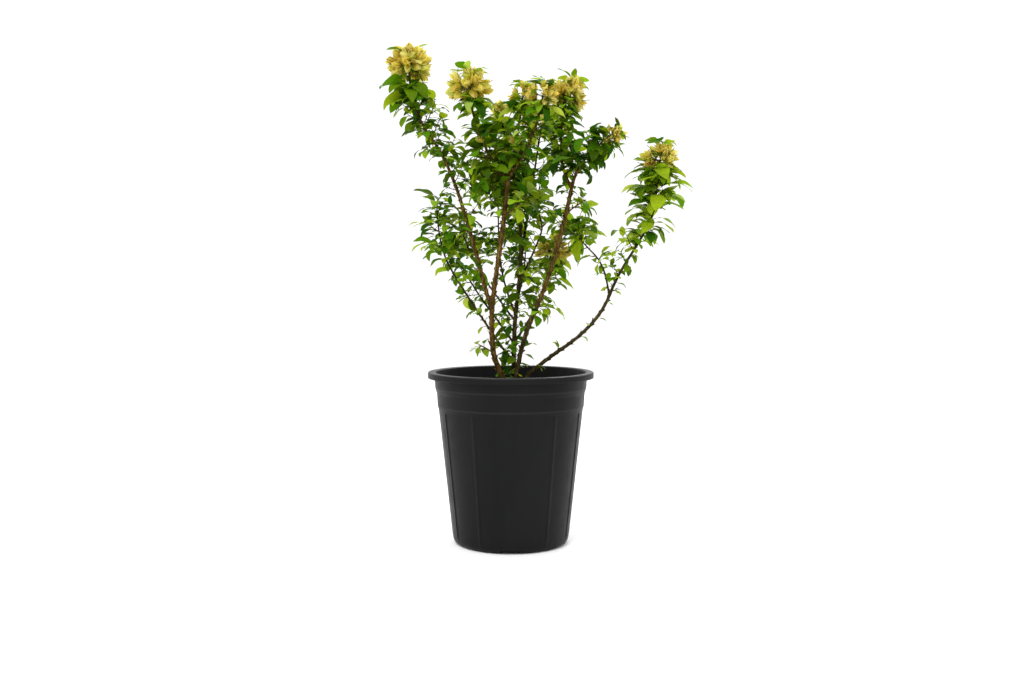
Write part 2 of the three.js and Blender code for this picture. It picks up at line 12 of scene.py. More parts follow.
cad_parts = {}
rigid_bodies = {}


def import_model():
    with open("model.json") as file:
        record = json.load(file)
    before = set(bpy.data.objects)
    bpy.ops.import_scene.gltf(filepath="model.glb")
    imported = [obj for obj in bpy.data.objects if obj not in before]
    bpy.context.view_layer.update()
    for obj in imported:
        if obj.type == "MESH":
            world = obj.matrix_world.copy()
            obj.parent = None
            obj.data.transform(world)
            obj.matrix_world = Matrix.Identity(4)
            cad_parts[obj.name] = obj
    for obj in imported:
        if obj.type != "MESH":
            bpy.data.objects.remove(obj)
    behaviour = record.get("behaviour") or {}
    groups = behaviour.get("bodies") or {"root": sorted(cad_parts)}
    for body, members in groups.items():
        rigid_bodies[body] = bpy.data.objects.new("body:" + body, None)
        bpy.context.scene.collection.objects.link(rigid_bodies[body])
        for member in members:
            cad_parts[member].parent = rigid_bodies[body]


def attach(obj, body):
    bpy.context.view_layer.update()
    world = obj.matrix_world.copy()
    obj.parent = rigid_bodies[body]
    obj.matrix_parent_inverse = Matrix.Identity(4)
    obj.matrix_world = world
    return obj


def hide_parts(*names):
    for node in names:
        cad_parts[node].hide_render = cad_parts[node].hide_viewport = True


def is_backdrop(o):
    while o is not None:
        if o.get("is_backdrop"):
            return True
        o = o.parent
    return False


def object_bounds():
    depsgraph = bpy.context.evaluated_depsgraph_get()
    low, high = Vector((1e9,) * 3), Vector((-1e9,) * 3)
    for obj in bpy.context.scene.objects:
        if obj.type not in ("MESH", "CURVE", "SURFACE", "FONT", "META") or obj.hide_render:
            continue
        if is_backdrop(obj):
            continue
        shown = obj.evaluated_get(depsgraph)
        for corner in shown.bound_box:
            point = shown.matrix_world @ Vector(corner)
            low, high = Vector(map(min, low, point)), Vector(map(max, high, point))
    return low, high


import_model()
cad_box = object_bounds()

# Metres in a millimetre, and the slack in comparisons of sizes
MM = 0.001
SLACK = 0.01
UP = np.array((0.0, 0.0, 1.0))
FRONT = np.array((0.0, -1.0, 0.0))

# Camera at the photograph's place, with a sensor 36 mm wide
CAMERA_PLACE = (1.06, -1600, 391)
CAMERA_PITCH = 3.08
CAMERA_LENS = 37.36

# Stage, in metres and watts: a pale floor, an even white world and two round lights
FLOOR_REACH = 12
FLOOR_FINISH = {"roughness": 0.7, "specular": 0.1, "scale": 3}
FLOOR_STOPS = ((0.3, (0.92, 0.92, 0.915)), (0.7, (0.94, 0.94, 0.935)))
WORLD_STRENGTH = 1.1
LIGHT_AIM = (0, 0, 0.45)
LIGHT_SIZE = 1.4
LIGHTS = {"key": ((-0.8, -1.6, 2.1), 42), "back": ((0.5, 1.8, 2.0), 36)}

# Pot: the solids' sizes, with rounded corners, and a painted highlight on the edges of its rim and steps
POT_HEIGHT = 259
RIM_RADIUS = 125
RIM_THICKNESS = 3
RIM_ROUND = 2.4
LIP_DEPTH = 9
LIP_THICKNESS = 2.6
LIP_ROUND = 0.8
WALL_THICKNESS = 2.4
COLLAR_RADIUS = 115.5
UPPER_STEP = {"top": 235, "foot": 227, "outer": 114, "inner": 111.6}
LOWER_STEP = {"top": 208, "foot": 202, "outer": 110.4, "inner": 108.8}
STEP_ROUND = 0.9
FOOT_RADIUS = 88.5
FOOT_ROUND = 12
FOOT_CORNER = {"inset": 2, "round": 9.6}
FLOOR_THICKNESS = 3
RIB = {"count": 11, "first": -87, "width": 2.4, "ramp": 0.7, "room": 1.4, "proud": 0.8, "foot": 16,
       "top": 199}
DRAIN_SLOT = {"count": 4, "first": -90, "width": 30, "inset": 16, "depth": 24, "height": 5}
POT_STOPS = ((0.35, (0.0052, 0.0053, 0.0055)), (0.65, (0.008, 0.0081, 0.0084)))
# A painted highlight: a lighter colour in narrow bands at the heights of the rim and the step edges
EDGE_HIGHLIGHT = {"width": 1.8, "step": 0.35, "colour": (0.036, 0.036, 0.037)}
POT_COLUMNS = 180
POT_CREASE = 40
CORNER_STEPS = 4

# Potting mix: its level, its relief by the size, place in the noise and share of each kind of lump, a mound
# round the stems, and loose chips
MIX_TOP = 226
MIX_GAP = 0.4
MIX_RINGS = 44
MIX_COLUMNS = 132
MIX_RELIEF = 3.2
MIX_LUMPS = ((26, 0.3, 0.6), (7, 4.1, 0.4))
MIX_MOUND = {"height": 3, "reach": 24, "sunk": 1}
MIX_FINISH = {"roughness": 0.95, "specular": 0.2, "scale": 260, "relief": (420, 0.8, 1.4)}
MIX_STOPS = ((0.3, (0.008, 0.0055, 0.004)), (0.55, (0.026, 0.016, 0.01)), (0.75, (0.06, 0.038, 0.024)))
CHIP = {"count": 900, "seed": 7, "size": (2.5, 9), "smallness": 2.5, "width": (0.4, 0.8),
        "thickness": (0.15, 0.4), "ragged": (0.6, 1), "tip": 0.5, "proud": 0.15, "crease": 30}
CHIP_FINISH = {"roughness": 0.9, "specular": 0.25, "scale": 500, "relief": (900, 0.5, 0.5)}
CHIP_TONES = {
    "chip_dark": (0.02, 0.013, 0.008),
    "chip_brown": (0.07, 0.04, 0.022),
    "chip_pale": (0.2, 0.15, 0.1),
}
CHIP_SHADES = (0.5, 1.3)
CHIP_SHARES = (0.6, 0.35, 0.05)
BOX_SIDES = [(0, 1, 3, 2), (4, 6, 7, 5), (0, 4, 5, 1), (2, 3, 7, 6), (0, 2, 6, 4), (1, 5, 7, 3)]

# Limbs: depth below the mix where a stem's line begins, swelling at roots and forks, fineness of the tubes
TRACE_STEP = 10
ROOT_DEPTH = 8
ROOT_FLARE = {"share": 0.4, "reach": 9}
FORK_SWELL = {"share": 0.3, "reach": 6}
BARK_SIDES = 16
BARK_RING = 1.5
SHOOT_SIDES = 8
SHOOT_RING = 4

# Bark: ridges that sway along the limb, grain, and nubs of old leaf scars in spiral order, with a thorn or a
# blunt stub on most of them. Old bark weathers the foot of some stems.
RIDGE = {"count": 5, "height": 0.07, "sway": 0.9, "sway_length": 23}
GRAIN = {"height": 0.14, "length": 6, "round": 1.3, "apart": 9}
SCAR = {"spacing": 5.2, "stray": (0.7, 1.3), "height": 0.45, "length": 1.8, "reach": 3, "fork_room": 2}
THORN = {"length": (3.5, 7), "radius": (1, 0.1), "pitch": 66}
STUB = {"length": (2.5, 5), "radius": (1.6, 1), "pitch": 60}
SPIKE = {"least": 0.4, "foot": 6, "stray": 14, "sunk": 0.7, "bend": 0.6, "tip": 0.45, "rise": 0.5, "steps": 3}
SPIKE_KINDS = (THORN, STUB, None)
SPIKE_SHARES = (0.4, 0.45, 0.15)
WEATHERING_STRAY = 0.05
SCAR_SEED = 100
SPIKE_SEED = 200
WEATHER_SEED = 300
BARK_STOPS = (0.32, 0.5, 0.68)
BARK_TONES = {
    "young_bark": ("bark_young", (0.013, 0.007, 0.0015), (0.062, 0.034, 0.006), (0.17, 0.104, 0.027)),
    "old_bark": ("bark_old", (0.008, 0.006, 0.002), (0.028, 0.021, 0.006), (0.085, 0.066, 0.022)),
}
WOODS = list(BARK_TONES)

# Leaves in spiral order: pitch from the shoot at its base and tip, and how far each one strays.
# Some have a spur beside them whose smaller leaves make a rosette.
SPIRAL_TURN = 137.5
TURN_STRAY = 18
FIRST_LEAF = 5
LEAF_PITCH = (86, 66)
PITCH_STRAY = 16
LEAF_LEVEL = 0.65
LEAF_DROOP = (-0.25, 0.12)
LEAF_LEAN = 0.5
LEAF_ROLL = 0.5
LEAF_SIZE_STRAY = 0.28
PETIOLE = (0.14, 0.26)
PETIOLE_RADIUS = (0.6, 0.45)
PETIOLE_RING = ((1, 0), (-0.5, 0.87), (-0.5, -0.87))
PETIOLE_SIDES = [(0, 3, 4, 1), (1, 4, 5, 2), (2, 5, 3, 0)]
LEAF_BEND = (35, 95)
LEAF_FOLD = (0.06, 0.38)
SHOOT_TONE_STRAY = 0.4
TONE_STRAY = 0.75
ROSETTE = {"share": 0.6, "leaves": (2, 3), "spread": 65, "size": (0.55, 0.85), "spur": 5, "radius": 0.8}

# Spurs on the bare stretch of a limb, with a few small leaves each
SPUR = {"leaves": (1, 2, 2, 3), "spread": 50, "pitch": (50, 95), "size": (0.5, 0.95), "gap": (0.6, 1.4),
        "turn": 40}

# Side twigs: one to every few leaves, leaving the shoot at a pitch and curving up, with a finer twig on each
# long one
TWIG_EVERY = 3
TWIG_PITCH = 58
TWIG_RADIUS = (0.8, 0.4)
TWIG_BEND = 0.55
TWIG_RISE = 0.12
TWIG_LENGTH_STRAY = 0.3
TWIG_LAST = 0.92
TWIG_LEAFY = 0.28
TWIG_LEAF_SPACING = 4.2
TWIG_POINTS = 6
TWIG_RING = 6
FINE_TWIG = {"from": 20, "length": 0.5, "radius": 0.75, "place": (0.35, 0.6)}
THIN_SIDES = 5
STALK = {"radius": 0.6, "sag": 1, "sides": 4, "tone": 2}

# Bract heads: clusters of flowers round the end of a shoot, one on top and the rest round it, with leaves
# between them. Each flower has three bracts and a thin flower tube that hooks over. Lengths are shares of
# the head's radius.
CLUSTER_TOP = {"pitch": 28, "stalk": 0.22}
CLUSTER_SIDE = {"pitch": 94, "stalk": 0.3}
CLUSTER_FIRST = 65
CLUSTER_STRAY = 12
CLUSTER_SPREAD = 64
CLUSTER_SPREAD_STRAY = 7
CLUSTER_GUIDE = 0.1 * UP - FRONT
HEAD_FOOT = 0.5
HEAD_LEAVES = {"each": 4, "span": (-0.55, 0.6), "length": (17, 27), "pitch": (50, 110), "tone": 0.8}
FLOWER_STALK = (0.04, 0.24)
FLOWER_LIFT = 0.1
FLOWER_GUIDE = UP - 0.01 * FRONT
BRACT_COUNT = 3
BRACT_LENGTH = 0.58
BRACT_TILT = (5, 34)
BRACT_TURN_STRAY = 16
BRACT_SIZE_STRAY = 0.2
BRACT_BEND = (5, 45)
BRACT_FOLD = (-0.5, -0.1)
TUBE = {"length": (0.8, 1.1), "radius": (0.32, 0.5), "lean": 0.25, "bend": (0.6, 0.05), "hook": 0.5,
        "mouth": 0.36, "green": 0.3, "steps": 4}

# Young leaves on the shoot's tip above a head, and the ring of drooping leaves under it
CREST_PITCH = (62, 94)
CREST_LEAF = (0.75, 1.05)
CREST_TONE = 1.6
CREST_HANG = {"roll": 1.1, "bends": (15, 55)}
COLLAR_LEAVES = 14
COLLAR_PITCH = (74, 110)
COLLAR_TONE = 0.7
COLLAR_SPREAD = 12
COLLAR_HANG = {"roll": 1.1, "bends": (60, 105)}

# Small blooms on side stalks: a few flowers each, with a little painted shade in their bract tones
BLOOM = {"stalk": 16, "radius": 22, "flowers": 3, "spread": 70, "pitch_stray": 30, "shade": 0.3}

# Room that leaves keep to bare limbs, and to the mix and the pot
LIMB_MARGIN = 0.8
POT_MARGIN = 4

# Openings where the sky shows through the crown from the front: across and up on the upright plane through
# the pot's axis, then half their width and height. Leaves and twigs stay out of them.
OPENINGS = (
    (46, 600, 5, 8), (36, 568, 9, 4), (70, 544, 5, 5), (107, 545, 6, 6), (96, 498, 5, 4), (24, 434, 5, 5),
    (-3, 452, 4, 4), (-24, 487, 4, 4), (-65, 423, 5, 4), (-37, 416, 4, 4), (-114, 566, 4, 12),
    (-63, 635, 4, 5), (-56, 611, 3, 4), (123, 444, 5, 5), (66, 371, 6, 5), (238, 496, 13, 4),
    (-188, 699, 4, 4), (-133, 605, 6, 5), (-104, 674, 6, 12),
)

# Wood that shows from the front: a limb, and the shares of its length between which most leaves stay off it
SHOWN_WOOD = (
    ("left_inner", 0.5, 1), ("front", 0, 0.7), ("left_upright", 0, 0.4),
    ("right", 0.45, 1), ("right_upright", 0, 0.3), ("right_side", 0, 0.25),
)
SHOWN_STEP = 4
SHOWN_MARGIN = 0.8
SHOWN_STRAY = 0.3

# Every limb leaves its parent at a share of the parent's length, or stands in the mix at a foot, and has its
# stem's wood. heading is the bearing from above (0 is +X, 90 is +Y) and lean the angle from upright, in
# degrees at evenly spaced stations from base to tip. girth is the thickness at base and tip.
# leafy is the share of the length where the foliage begins, and 1 is a bare limb.
# leaf is a leaf's length, spacing the way between leaves and twig a side twig's length, at stations too.
# tone is the leaves' mean level in LEAF_TONES, and spurs the way between leaf spurs at the base and end of
# the bare stretch. head is the number of flowers, the head's radius and the clusters that they stand in,
# head_at the share of the length where it stands, and head_foot how far below it the leaves end, as a share
# of its radius. crest is the number of young leaves above the head and how far up, as a share of its radius.
# blooms are the share and turn of each small bloom, sprays the share, turn and length of each extra side
# twig, and weathered is the share of the length whose bark is old.
PLAN_DEFAULTS = dict(
    parent=None, leafy=0, spacing=(4, 4), twig=None, spurs=None, head=None, head_at=1, head_foot=HEAD_FOOT,
    blooms=(), sprays=(), weathered=0)
LIMBS = dict(
    left=dict(
        foot=(-5, -7), length=145, girth=(8, 6.9), leafy=1, wood="young_bark", weathered=0.16,
        heading=(225, 206, 262, 270), lean=(11, 27, 11, 11)),
    left_inner=dict(
        parent="left", at=0.99, length=194, girth=(6.7, 5.8), leafy=1, leaf=(28, 30), tone=1.2, spurs=(40, 8),
        heading=(302, 313, 321), lean=(14, 12, 7),
        sprays=((0.76, 195, 30), (0.82, 160, 46), (0.86, 205, 46), (0.92, 180, 56), (0.97, 165, 50),
                (0.7, 120, 22), (0.5, 20, 20))),
    front=dict(
        parent="left_inner", at=0.99, length=130, girth=(4.4, 2.8), leaf=(30, 34), twig=(22, 14), tone=1.0,
        heading=(330, 307, 317), lean=(43, 37, 10), head=(20, 25, 4), crest=(7, 0.8)),
    left_upright=dict(
        parent="left_inner", at=0.97, length=157, girth=(4.2, 2.8), leaf=(31, 33), spacing=(3.6, 4),
        heading=(161, 149, 152, 104), lean=(45, 30, 20, 5), twig=(36, 16, 14), tone=0.9,
        head=(35, 34, 5), crest=(11, 0.64), blooms=((0.36, 95),)),
    front_upright=dict(
        parent="left_inner", at=0.985, length=122, girth=(3.6, 2.6), leaf=(29, 32), twig=(22, 14), tone=0.9,
        heading=(20, 40, 25), lean=(15, 13, 6), head=(20, 23, 4), crest=(7, 0.8),
        blooms=((0.33, 95), (0.57, 90))),
    left_outer=dict(
        parent="left", at=0.985, length=391, girth=(6, 3.2), leafy=0.53, tone=0.9, spurs=(34, 8),
        heading=(165, 163, 158, 151, 153, 165, 165, 115), lean=(19, 15, 17, 20, 27, 37, 16, 0),
        leaf=(28, 28, 28, 28, 28, 28, 34, 52), spacing=(4, 4, 3.8, 3.4), twig=(16, 26, 24, 12),
        head=(50, 36, 5), crest=(4, 0.5), head_foot=0.85,
        sprays=((0.16, 10, 14), (0.2, 190, 14), (0.26, 20, 18), (0.3, 175, 16), (0.35, 15, 22),
                (0.39, 190, 20), (0.43, 350, 26), (0.47, 185, 24), (0.5, 30, 26), (0.46, 5, 30),
                (0.54, 350, 30), (0.6, 15, 28), (0.7, 350, 36), (0.75, 10, 34), (0.83, 185, 20),
                (0.86, 165, 16))),
    centre=dict(
        foot=(4, 9), length=445, girth=(7.2, 3), leafy=0.54, wood="old_bark", tone=0.7, spurs=(16, 12),
        heading=(90, 80, 41, 75, 127, 149, 146), lean=(2, 7, 9, 6, 12, 16, 12), leaf=(29, 31),
        spacing=(3.8, 3.8), twig=(30, 30), head=(21, 20, 3), crest=(4, 0.6),
        sprays=((0.1, 95, 20), (0.13, 55, 20), (0.16, 130, 22), (0.2, 80, 20), (0.27, 340, 20),
                (0.24, 170, 22), (0.31, 195, 22), (0.34, 20, 22))),
    left_low=dict(
        parent="centre", at=0.12, length=296, girth=(3.8, 2), leafy=0.6, leaf=(30, 33), spacing=(5, 4.2),
        heading=(156, 152, 154, 166, 160, 60), lean=(41, 38, 37, 31, 8, 16), twig=(48, 48, 22), tone=1.4,
        spurs=(16, 8)),
    left_back=dict(
        parent="centre", at=0.185, length=216, girth=(3.4, 2), leafy=0.46, leaf=(28, 31), spacing=(6.4, 6),
        heading=(132, 134, 135, 135), lean=(46, 49, 41, 27), twig=(24, 22), tone=1.3, spurs=(14, 8)),
    left_middle=dict(
        parent="centre", at=0.262, length=196, girth=(3, 1.8), leafy=0.4, leaf=(29, 32), spacing=(5.6, 5.2),
        heading=(146, 151, 149, 150), lean=(42, 40, 29, 14), twig=(28, 30), tone=1.4, spurs=(14, 8)),
    centre_left=dict(
        parent="centre", at=0.288, length=239, girth=(3, 1.8), leafy=0.4, leaf=(27, 31), spacing=(4.2, 4.2),
        heading=(130, 122, 104, 94, 130), lean=(37, 25, 12, 7, 11), twig=(34, 36), tone=1.2, spurs=(16, 8)),
    right_low=dict(
        parent="centre", at=0.188, length=180, girth=(3.8, 2.4), leafy=0.34, leaf=(29, 33), spacing=(4.5, 5),
        heading=(36, 45, 42, 34), lean=(42, 40, 22, 11), twig=(26, 22, 6), tone=1.6, spurs=(24, 12),
        head=(40, 29, 5), crest=(1, 0.3), head_at=0.93),
    centre_right=dict(
        parent="centre", at=0.4, length=150, girth=(3, 2), leafy=0.34, leaf=(27, 32), spacing=(14, 9, 4),
        heading=(320, 345, 0), lean=(34, 22, 12), twig=(12, 18, 28), tone=1.4, spurs=(20, 16)),
    back=dict(
        parent="centre", at=0.45, length=246, girth=(4.2, 2.6), leafy=0.34, leaf=(30, 33), spacing=(4.5, 4.5),
        heading=(73, 67, 61), lean=(26, 22, 17), twig=(32, 28), tone=0.9, spurs=(24, 14),
        head=(28, 26, 4), crest=(5, 0.62)),
    right=dict(
        foot=(5, -10), length=335, girth=(6.9, 5.6), leafy=1, wood="young_bark", weathered=0.38,
        heading=(332, 345, 343, 346, 346, 350), lean=(3, 13, 25, 18, 14, 12), leaf=(28, 28), tone=1.2,
        spurs=(50, 8), sprays=((0.8, 185, 26), (0.9, 10, 24))),
    right_upright=dict(
        parent="right", at=0.975, length=157, girth=(4.2, 2.8), leaf=(30, 33), twig=(24, 16), tone=1.0,
        heading=(169, 96, 75, 50), lean=(29, 20, 24, 25), head=(38, 32, 5), crest=(13, 0.82)),
    right_side=dict(
        parent="right", at=0.99, length=95, girth=(4.4, 2.8), leaf=(33, 36), spacing=(3.2, 3.2),
        heading=(302, 321, 345), lean=(26, 49, 58), twig=(24, 20), tone=0.4, head=(18, 23, 3),
        crest=(6, 0.62)),
    far_right=dict(
        foot=(8, 0), length=438, girth=(6.2, 2.8), leafy=0.5, wood="old_bark", tone=1.6, spurs=(60, 16),
        heading=(8, 8, 9, 8, 8, -2, -9, -60, -30), lean=(14, 52, 57, 43, 22, 32, 30, 7, 8),
        leaf=(20, 20, 20, 22, 24, 26, 38, 52, 44), spacing=(16, 16, 16, 16, 13, 11, 4.4, 1.9, 2),
        twig=(6, 6, 8, 12, 12), head=(31, 29, 5), crest=(10, 0.9),
        sprays=((0.57, 180, 20), (0.62, 172, 20), (0.67, 188, 22), (0.71, 178, 22))),
    far_right_inner=dict(
        parent="far_right", at=0.49, length=150, girth=(3, 1.8), leafy=0.3, tone=1.7, spurs=(15, 13),
        heading=(114, 133, 145, 153, 153), lean=(12, 22, 48, 43, 23), leaf=(24, 26, 40, 34),
        spacing=(14, 10, 3.6, 4), twig=(8, 10, 24, 12),
        sprays=((0.66, 5, 26), (0.76, 30, 26), (0.84, 350, 30))),
    front_spray=dict(
        parent="left_inner", at=0.7, length=46, girth=(2.4, 1.8), leaf=(34, 36), tone=1.1,
        heading=(325, 330), lean=(58, 50)),
    right_spray=dict(
        parent="right", at=0.86, length=36, girth=(2.4, 1.8), leaf=(30, 34), tone=1.4,
        heading=(345, 350), lean=(50, 62)),
    right_low_spray=dict(
        parent="right", at=0.38, length=20, girth=(2.2, 1.6), leaf=(26, 28), tone=1.2,
        heading=(310, 320), lean=(54, 64)),
    left_low_spray=dict(
        parent="left", at=0.52, length=26, girth=(2.2, 1.6), leaf=(24, 26), tone=1.3,
        heading=(190, 190), lean=(56, 66)),
    back_spray=dict(
        parent="centre", at=0.34, length=112, girth=(3, 1.8), leafy=0.4, leaf=(25, 28), spacing=(4.5, 4.5),
        heading=(72, 80, 84), lean=(48, 42, 30), twig=(28, 28), tone=1.3, spurs=(18, 12)),
    foot_spray=dict(
        parent="centre", at=0.055, length=30, girth=(2.2, 1.6), leaf=(26, 30), tone=1.2,
        heading=(205, 215), lean=(40, 34)),
)

# Base colours, linear. The greens come in levels from deep to young, a cool and a warm one to each
LEAF_TONES = {
    "leaf_deep_cool": (0.02, 0.076, 0.0015),
    "leaf_deep_warm": (0.035, 0.076, 0.001),
    "leaf_green_cool": (0.06, 0.165, 0.002),
    "leaf_green_warm": (0.086, 0.168, 0.002),
    "leaf_fresh_cool": (0.185, 0.325, 0.012),
    "leaf_fresh_warm": (0.215, 0.32, 0.01),
    "leaf_young_cool": (0.28, 0.41, 0.07),
    "leaf_young_warm": (0.3, 0.4, 0.06),
}
LEAF_HUES = 2
LEAF_GLOW = (2, 1.75, 1)
BRACT_TONES = {
    "bract_pale": (0.73, 0.655, 0.175),
    "bract_gold": (0.665, 0.55, 0.065),
    "bract_ochre": (0.55, 0.395, 0.028),
    "bract_green": (0.43, 0.46, 0.04),
}
BRACT_GLOW = 1.15
# The colour that bracts turn towards from a share of their length on, and how far they reach it at the tip
BRACT_TIP = {"colour": (0.83, 0.765, 0.3), "first": 0.35, "reach": 0.6}
# Shares of the bract tones at the top and at the foot of a head: paler at the top and more ochre and green
# towards the foot, a painted shade
BRACT_SHARES = ((0.42, 0.44, 0.1, 0.04), (0.12, 0.36, 0.24, 0.28))
LEAF_FINISH = {"roughness": 0.52, "specular": 0.06, "through": 0.42, "vein_share": 0.3}
BRACT_FINISH = {"roughness": 0.62, "specular": 0.06, "through": 0.55, "vein_share": 0.12}
VEIN = {"midrib": (0.02, 0.1), "pairs": 8, "slant": -2.6, "width": 0.12, "strength": 0.45, "glow": 0.9}
BLADE_SHADES = (0.72, 1.2)
TUBE_TONES = {"tube_brown": (0.13, 0.06, 0.015), "tube_green": (0.24, 0.2, 0.05)}
TUBE_SHADES = (0.6, 1.4)
TUBE_FINISH = {"roughness": 0.6, "specular": 0.3, "scale": 500}
STALK_TONE = (0.1, 0.13, 0.02)


def unit(vector):
    return vector / np.linalg.norm(vector)


def lerp(first, last, share):
    return first + (last - first) * share


def stray(chance, amount):
    return chance.uniform(-amount, amount)


def ring(count, first=0):
    """Bearings spaced evenly round a circle"""
    return [first + i * 360 / count for i in range(count)]


def at_station(stations, share):
    """Value at a share of the way along evenly spaced stations"""
    return float(np.interp(share, np.linspace(0, 1, len(stations)), stations))


class Frame:
    """A point and a direction ahead. depth is a guide made square to that, and side is square to both"""

    def __init__(self, point, ahead, guide):
        self.point, self.ahead = point, ahead
        self.side = unit(np.cross(ahead, guide))
        self.depth = np.cross(self.side, ahead)

    def radial(self, turn):
        angle = math.radians(turn)
        return self.side * math.cos(angle) + self.depth * math.sin(angle)

    def pitched(self, turn, pitch):
        angle = math.radians(pitch)
        return self.radial(turn) * math.sin(angle) + self.ahead * math.cos(angle)


class Curve:
    """A smooth line through evenly spaced points, read by the share of its length"""

    def __init__(self, points):
        self.points = np.asarray(points, float)
        before = 2 * self.points[0] - self.points[1]
        after = 2 * self.points[-1] - self.points[-2]
        self.padded = np.vstack((before, self.points, after))
        self.length = float(np.linalg.norm(np.diff(self.points, axis=0), axis=1).sum())

    def _span(self, share):
        place = min(max(share, 0), 1) * (len(self.points) - 1)
        index = min(int(place), len(self.points) - 2)
        return self.padded[index:index + 4], place - index

    def point(self, share):
        (a, b, c, d), t = self._span(share)
        return b + 0.5 * t * (c - a + t * (2 * a - 5 * b + 4 * c - d + t * (3 * (b - c) + d - a)))

    def frame(self, share):
        """The point at a share, the direction there, and the front square to that"""
        (a, b, c, d), t = self._span(share)
        ahead = unit(c - a + 2 * t * (2 * a - 5 * b + 4 * c - d) + 3 * t * t * (3 * (b - c) + d - a))
        return Frame(self.point(share), ahead, FRONT)


class Batch:
    """Many small shapes gathered into one mesh, each with a tone and a place on its blade"""

    def __init__(self):
        self.points, self.faces, self.tones, self.places = [], [], [], []
        self.count = 0

    def add(self, points, faces, tone=0, places=None):
        self.points.append(points)
        self.faces.extend(tuple(corner + self.count for corner in face) for face in faces)
        self.tones.extend(tone if isinstance(tone, list) else [tone] * len(faces))
        self.places.append(np.zeros((len(points), 2)) if places is None else places)
        self.count += len(points)

    def make(self, name, materials):
        mesh = bpy.data.meshes.new(name)
        mesh.from_pydata((np.concatenate(self.points) * MM).tolist(), [], self.faces)
        for material in materials:
            mesh.materials.append(material)
        mesh.polygons.foreach_set("material_index", self.tones)
        mesh.polygons.foreach_set("use_smooth", [True] * len(self.faces))
        corners = np.empty(len(mesh.loops), dtype=np.int32)
        mesh.loops.foreach_get("vertex_index", corners)
        blade = mesh.uv_layers.new(name="blade")
        blade.uv.foreach_set("vector", np.concatenate(self.places)[corners].ravel())
        return link(name, mesh)


def link(name, data):
    made = bpy.data.objects.new(name, data)
    bpy.context.scene.collection.objects.link(made)
    return made


def place(piece, slot, nodes):
    """Puts a finished piece on the part, in place of its solids"""
    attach(piece, "root")
    if nodes:
        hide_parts(*nodes)


# Materials


# Where most values of a grain lie, and how rough a grain is
GRAIN_RANGE = (0.3, 0.7)
GRAIN_ROUGHNESS = 0.62


class Look:
    """A material: its shader, and the nodes that feed it"""

    def __init__(self, name, roughness, specular):
        self.material = bpy.data.materials.new(name)
        self.material.use_nodes = True
        self.tree = self.material.node_tree
        self.shader = self.tree.nodes["Principled BSDF"]
        self.feed(self.shader, {"Roughness": roughness, "Specular IOR Level": specular})

    def feed(self, node, inputs):
        """Sets inputs of a node, each to a value or from another node's output"""
        for name, value in inputs.items():
            if isinstance(value, bpy.types.NodeSocket):
                self.tree.links.new(value, node.inputs[name])
            else:
                node.inputs[name].default_value = value

    def add(self, kind, inputs, output=0, **settings):
        """An output of a new node"""
        node = self.tree.nodes.new("ShaderNode" + kind)
        for name, value in settings.items():
            setattr(node, name, value)
        self.feed(node, inputs)
        return node.outputs[output]

    def split(self, vector, axis):
        return self.add("SeparateXYZ", {"Vector": vector}, axis)

    def reckon(self, operation, *values):
        return self.add("Math", dict(enumerate(values)), operation=operation)

    def remap(self, value, first, last, low, high):
        """A value brought from one range into another"""
        ends = {"From Min": first, "From Max": last, "To Min": low, "To Max": high}
        return self.add("MapRange", {"Value": value, **ends})

    def spot(self):
        """The place on the part"""
        return self.add("TexCoord", {}, "Object")

    def on_blade(self, axis):
        """The place across a blade, X, or along it, Y"""
        return self.split(self.add("UVMap", {}, uv_map="blade"), axis)

    def grain(self, scale, stretch=(1, 1, 1), detail=6):
        """Noise over the part, at a scale per metre"""
        spot = self.add("Mapping", {"Vector": self.spot(), "Scale": stretch})
        inputs = {"Vector": spot, "Scale": scale, "Detail": detail, "Roughness": GRAIN_ROUGHNESS}
        return self.add("TexNoise", inputs)

    def spread(self, scale, low, high):
        """A grain brought into a range"""
        return self.remap(self.grain(scale), *GRAIN_RANGE, low, high)

    def ramp(self, value, stops):
        """Colours by value: stops are places with their colours"""
        output = self.add("ValToRGB", {"Fac": value})
        elements = output.node.color_ramp.elements
        while len(elements) < len(stops):
            elements.new(0.5)
        for element, (position, colour) in zip(elements, stops):
            element.position = position
            element.color = (*colour, 1)
        return output

    def blend(self, share, first, colour):
        return self.add("MixRGB", {"Fac": share, "Color1": first, "Color2": (*colour, 1)})

    def bump(self, height, strength, depth):
        """Relief of a depth in millimetres"""
        return self.add("Bump", {"Height": height, "Strength": strength, "Distance": depth * MM})

    def finish(self, inputs):
        self.feed(self.shader, inputs)
        return self.material


def shade_of(colour, factor):
    return tuple(min(channel * factor, 1) for channel in colour)


def shades(colour, factors):
    """Stops of a grain from a darker to a lighter shade of a colour"""
    return [(position, shade_of(colour, factor)) for position, factor in zip(GRAIN_RANGE, factors)]


def grained_material(name, stops, roughness, specular, scale, relief=None):
    """A surface whose colours follow a grain; relief is the scale, strength and depth of another"""
    look = Look(name, roughness, specular)
    inputs = {"Base Color": look.ramp(look.grain(scale), stops)}
    if relief:
        inputs["Normal"] = look.bump(look.grain(relief[0]), *relief[1:])
    return look.finish(inputs)


def painted_edge_highlight(look):
    """One on the pot's edges, at the heights of its steps and rim, and nought between them: where a painted
    highlight lightens the colour
    """
    edges = {LOWER_STEP["top"]: EDGE_HIGHLIGHT["step"], UPPER_STEP["top"]: EDGE_HIGHLIGHT["step"], POT_HEIGHT: 1}
    levels = [(0, 0)]
    for edge, share in edges.items():
        levels += [(edge - EDGE_HIGHLIGHT["width"], 0), (edge, share), (edge + EDGE_HIGHLIGHT["width"], 0)]
    stops = [(height / POT_HEIGHT, (level,) * 3) for height, level in levels if height <= POT_HEIGHT]
    return look.ramp(look.remap(look.split(look.spot(), "Z"), 0, POT_HEIGHT * MM, 0, 1), stops)


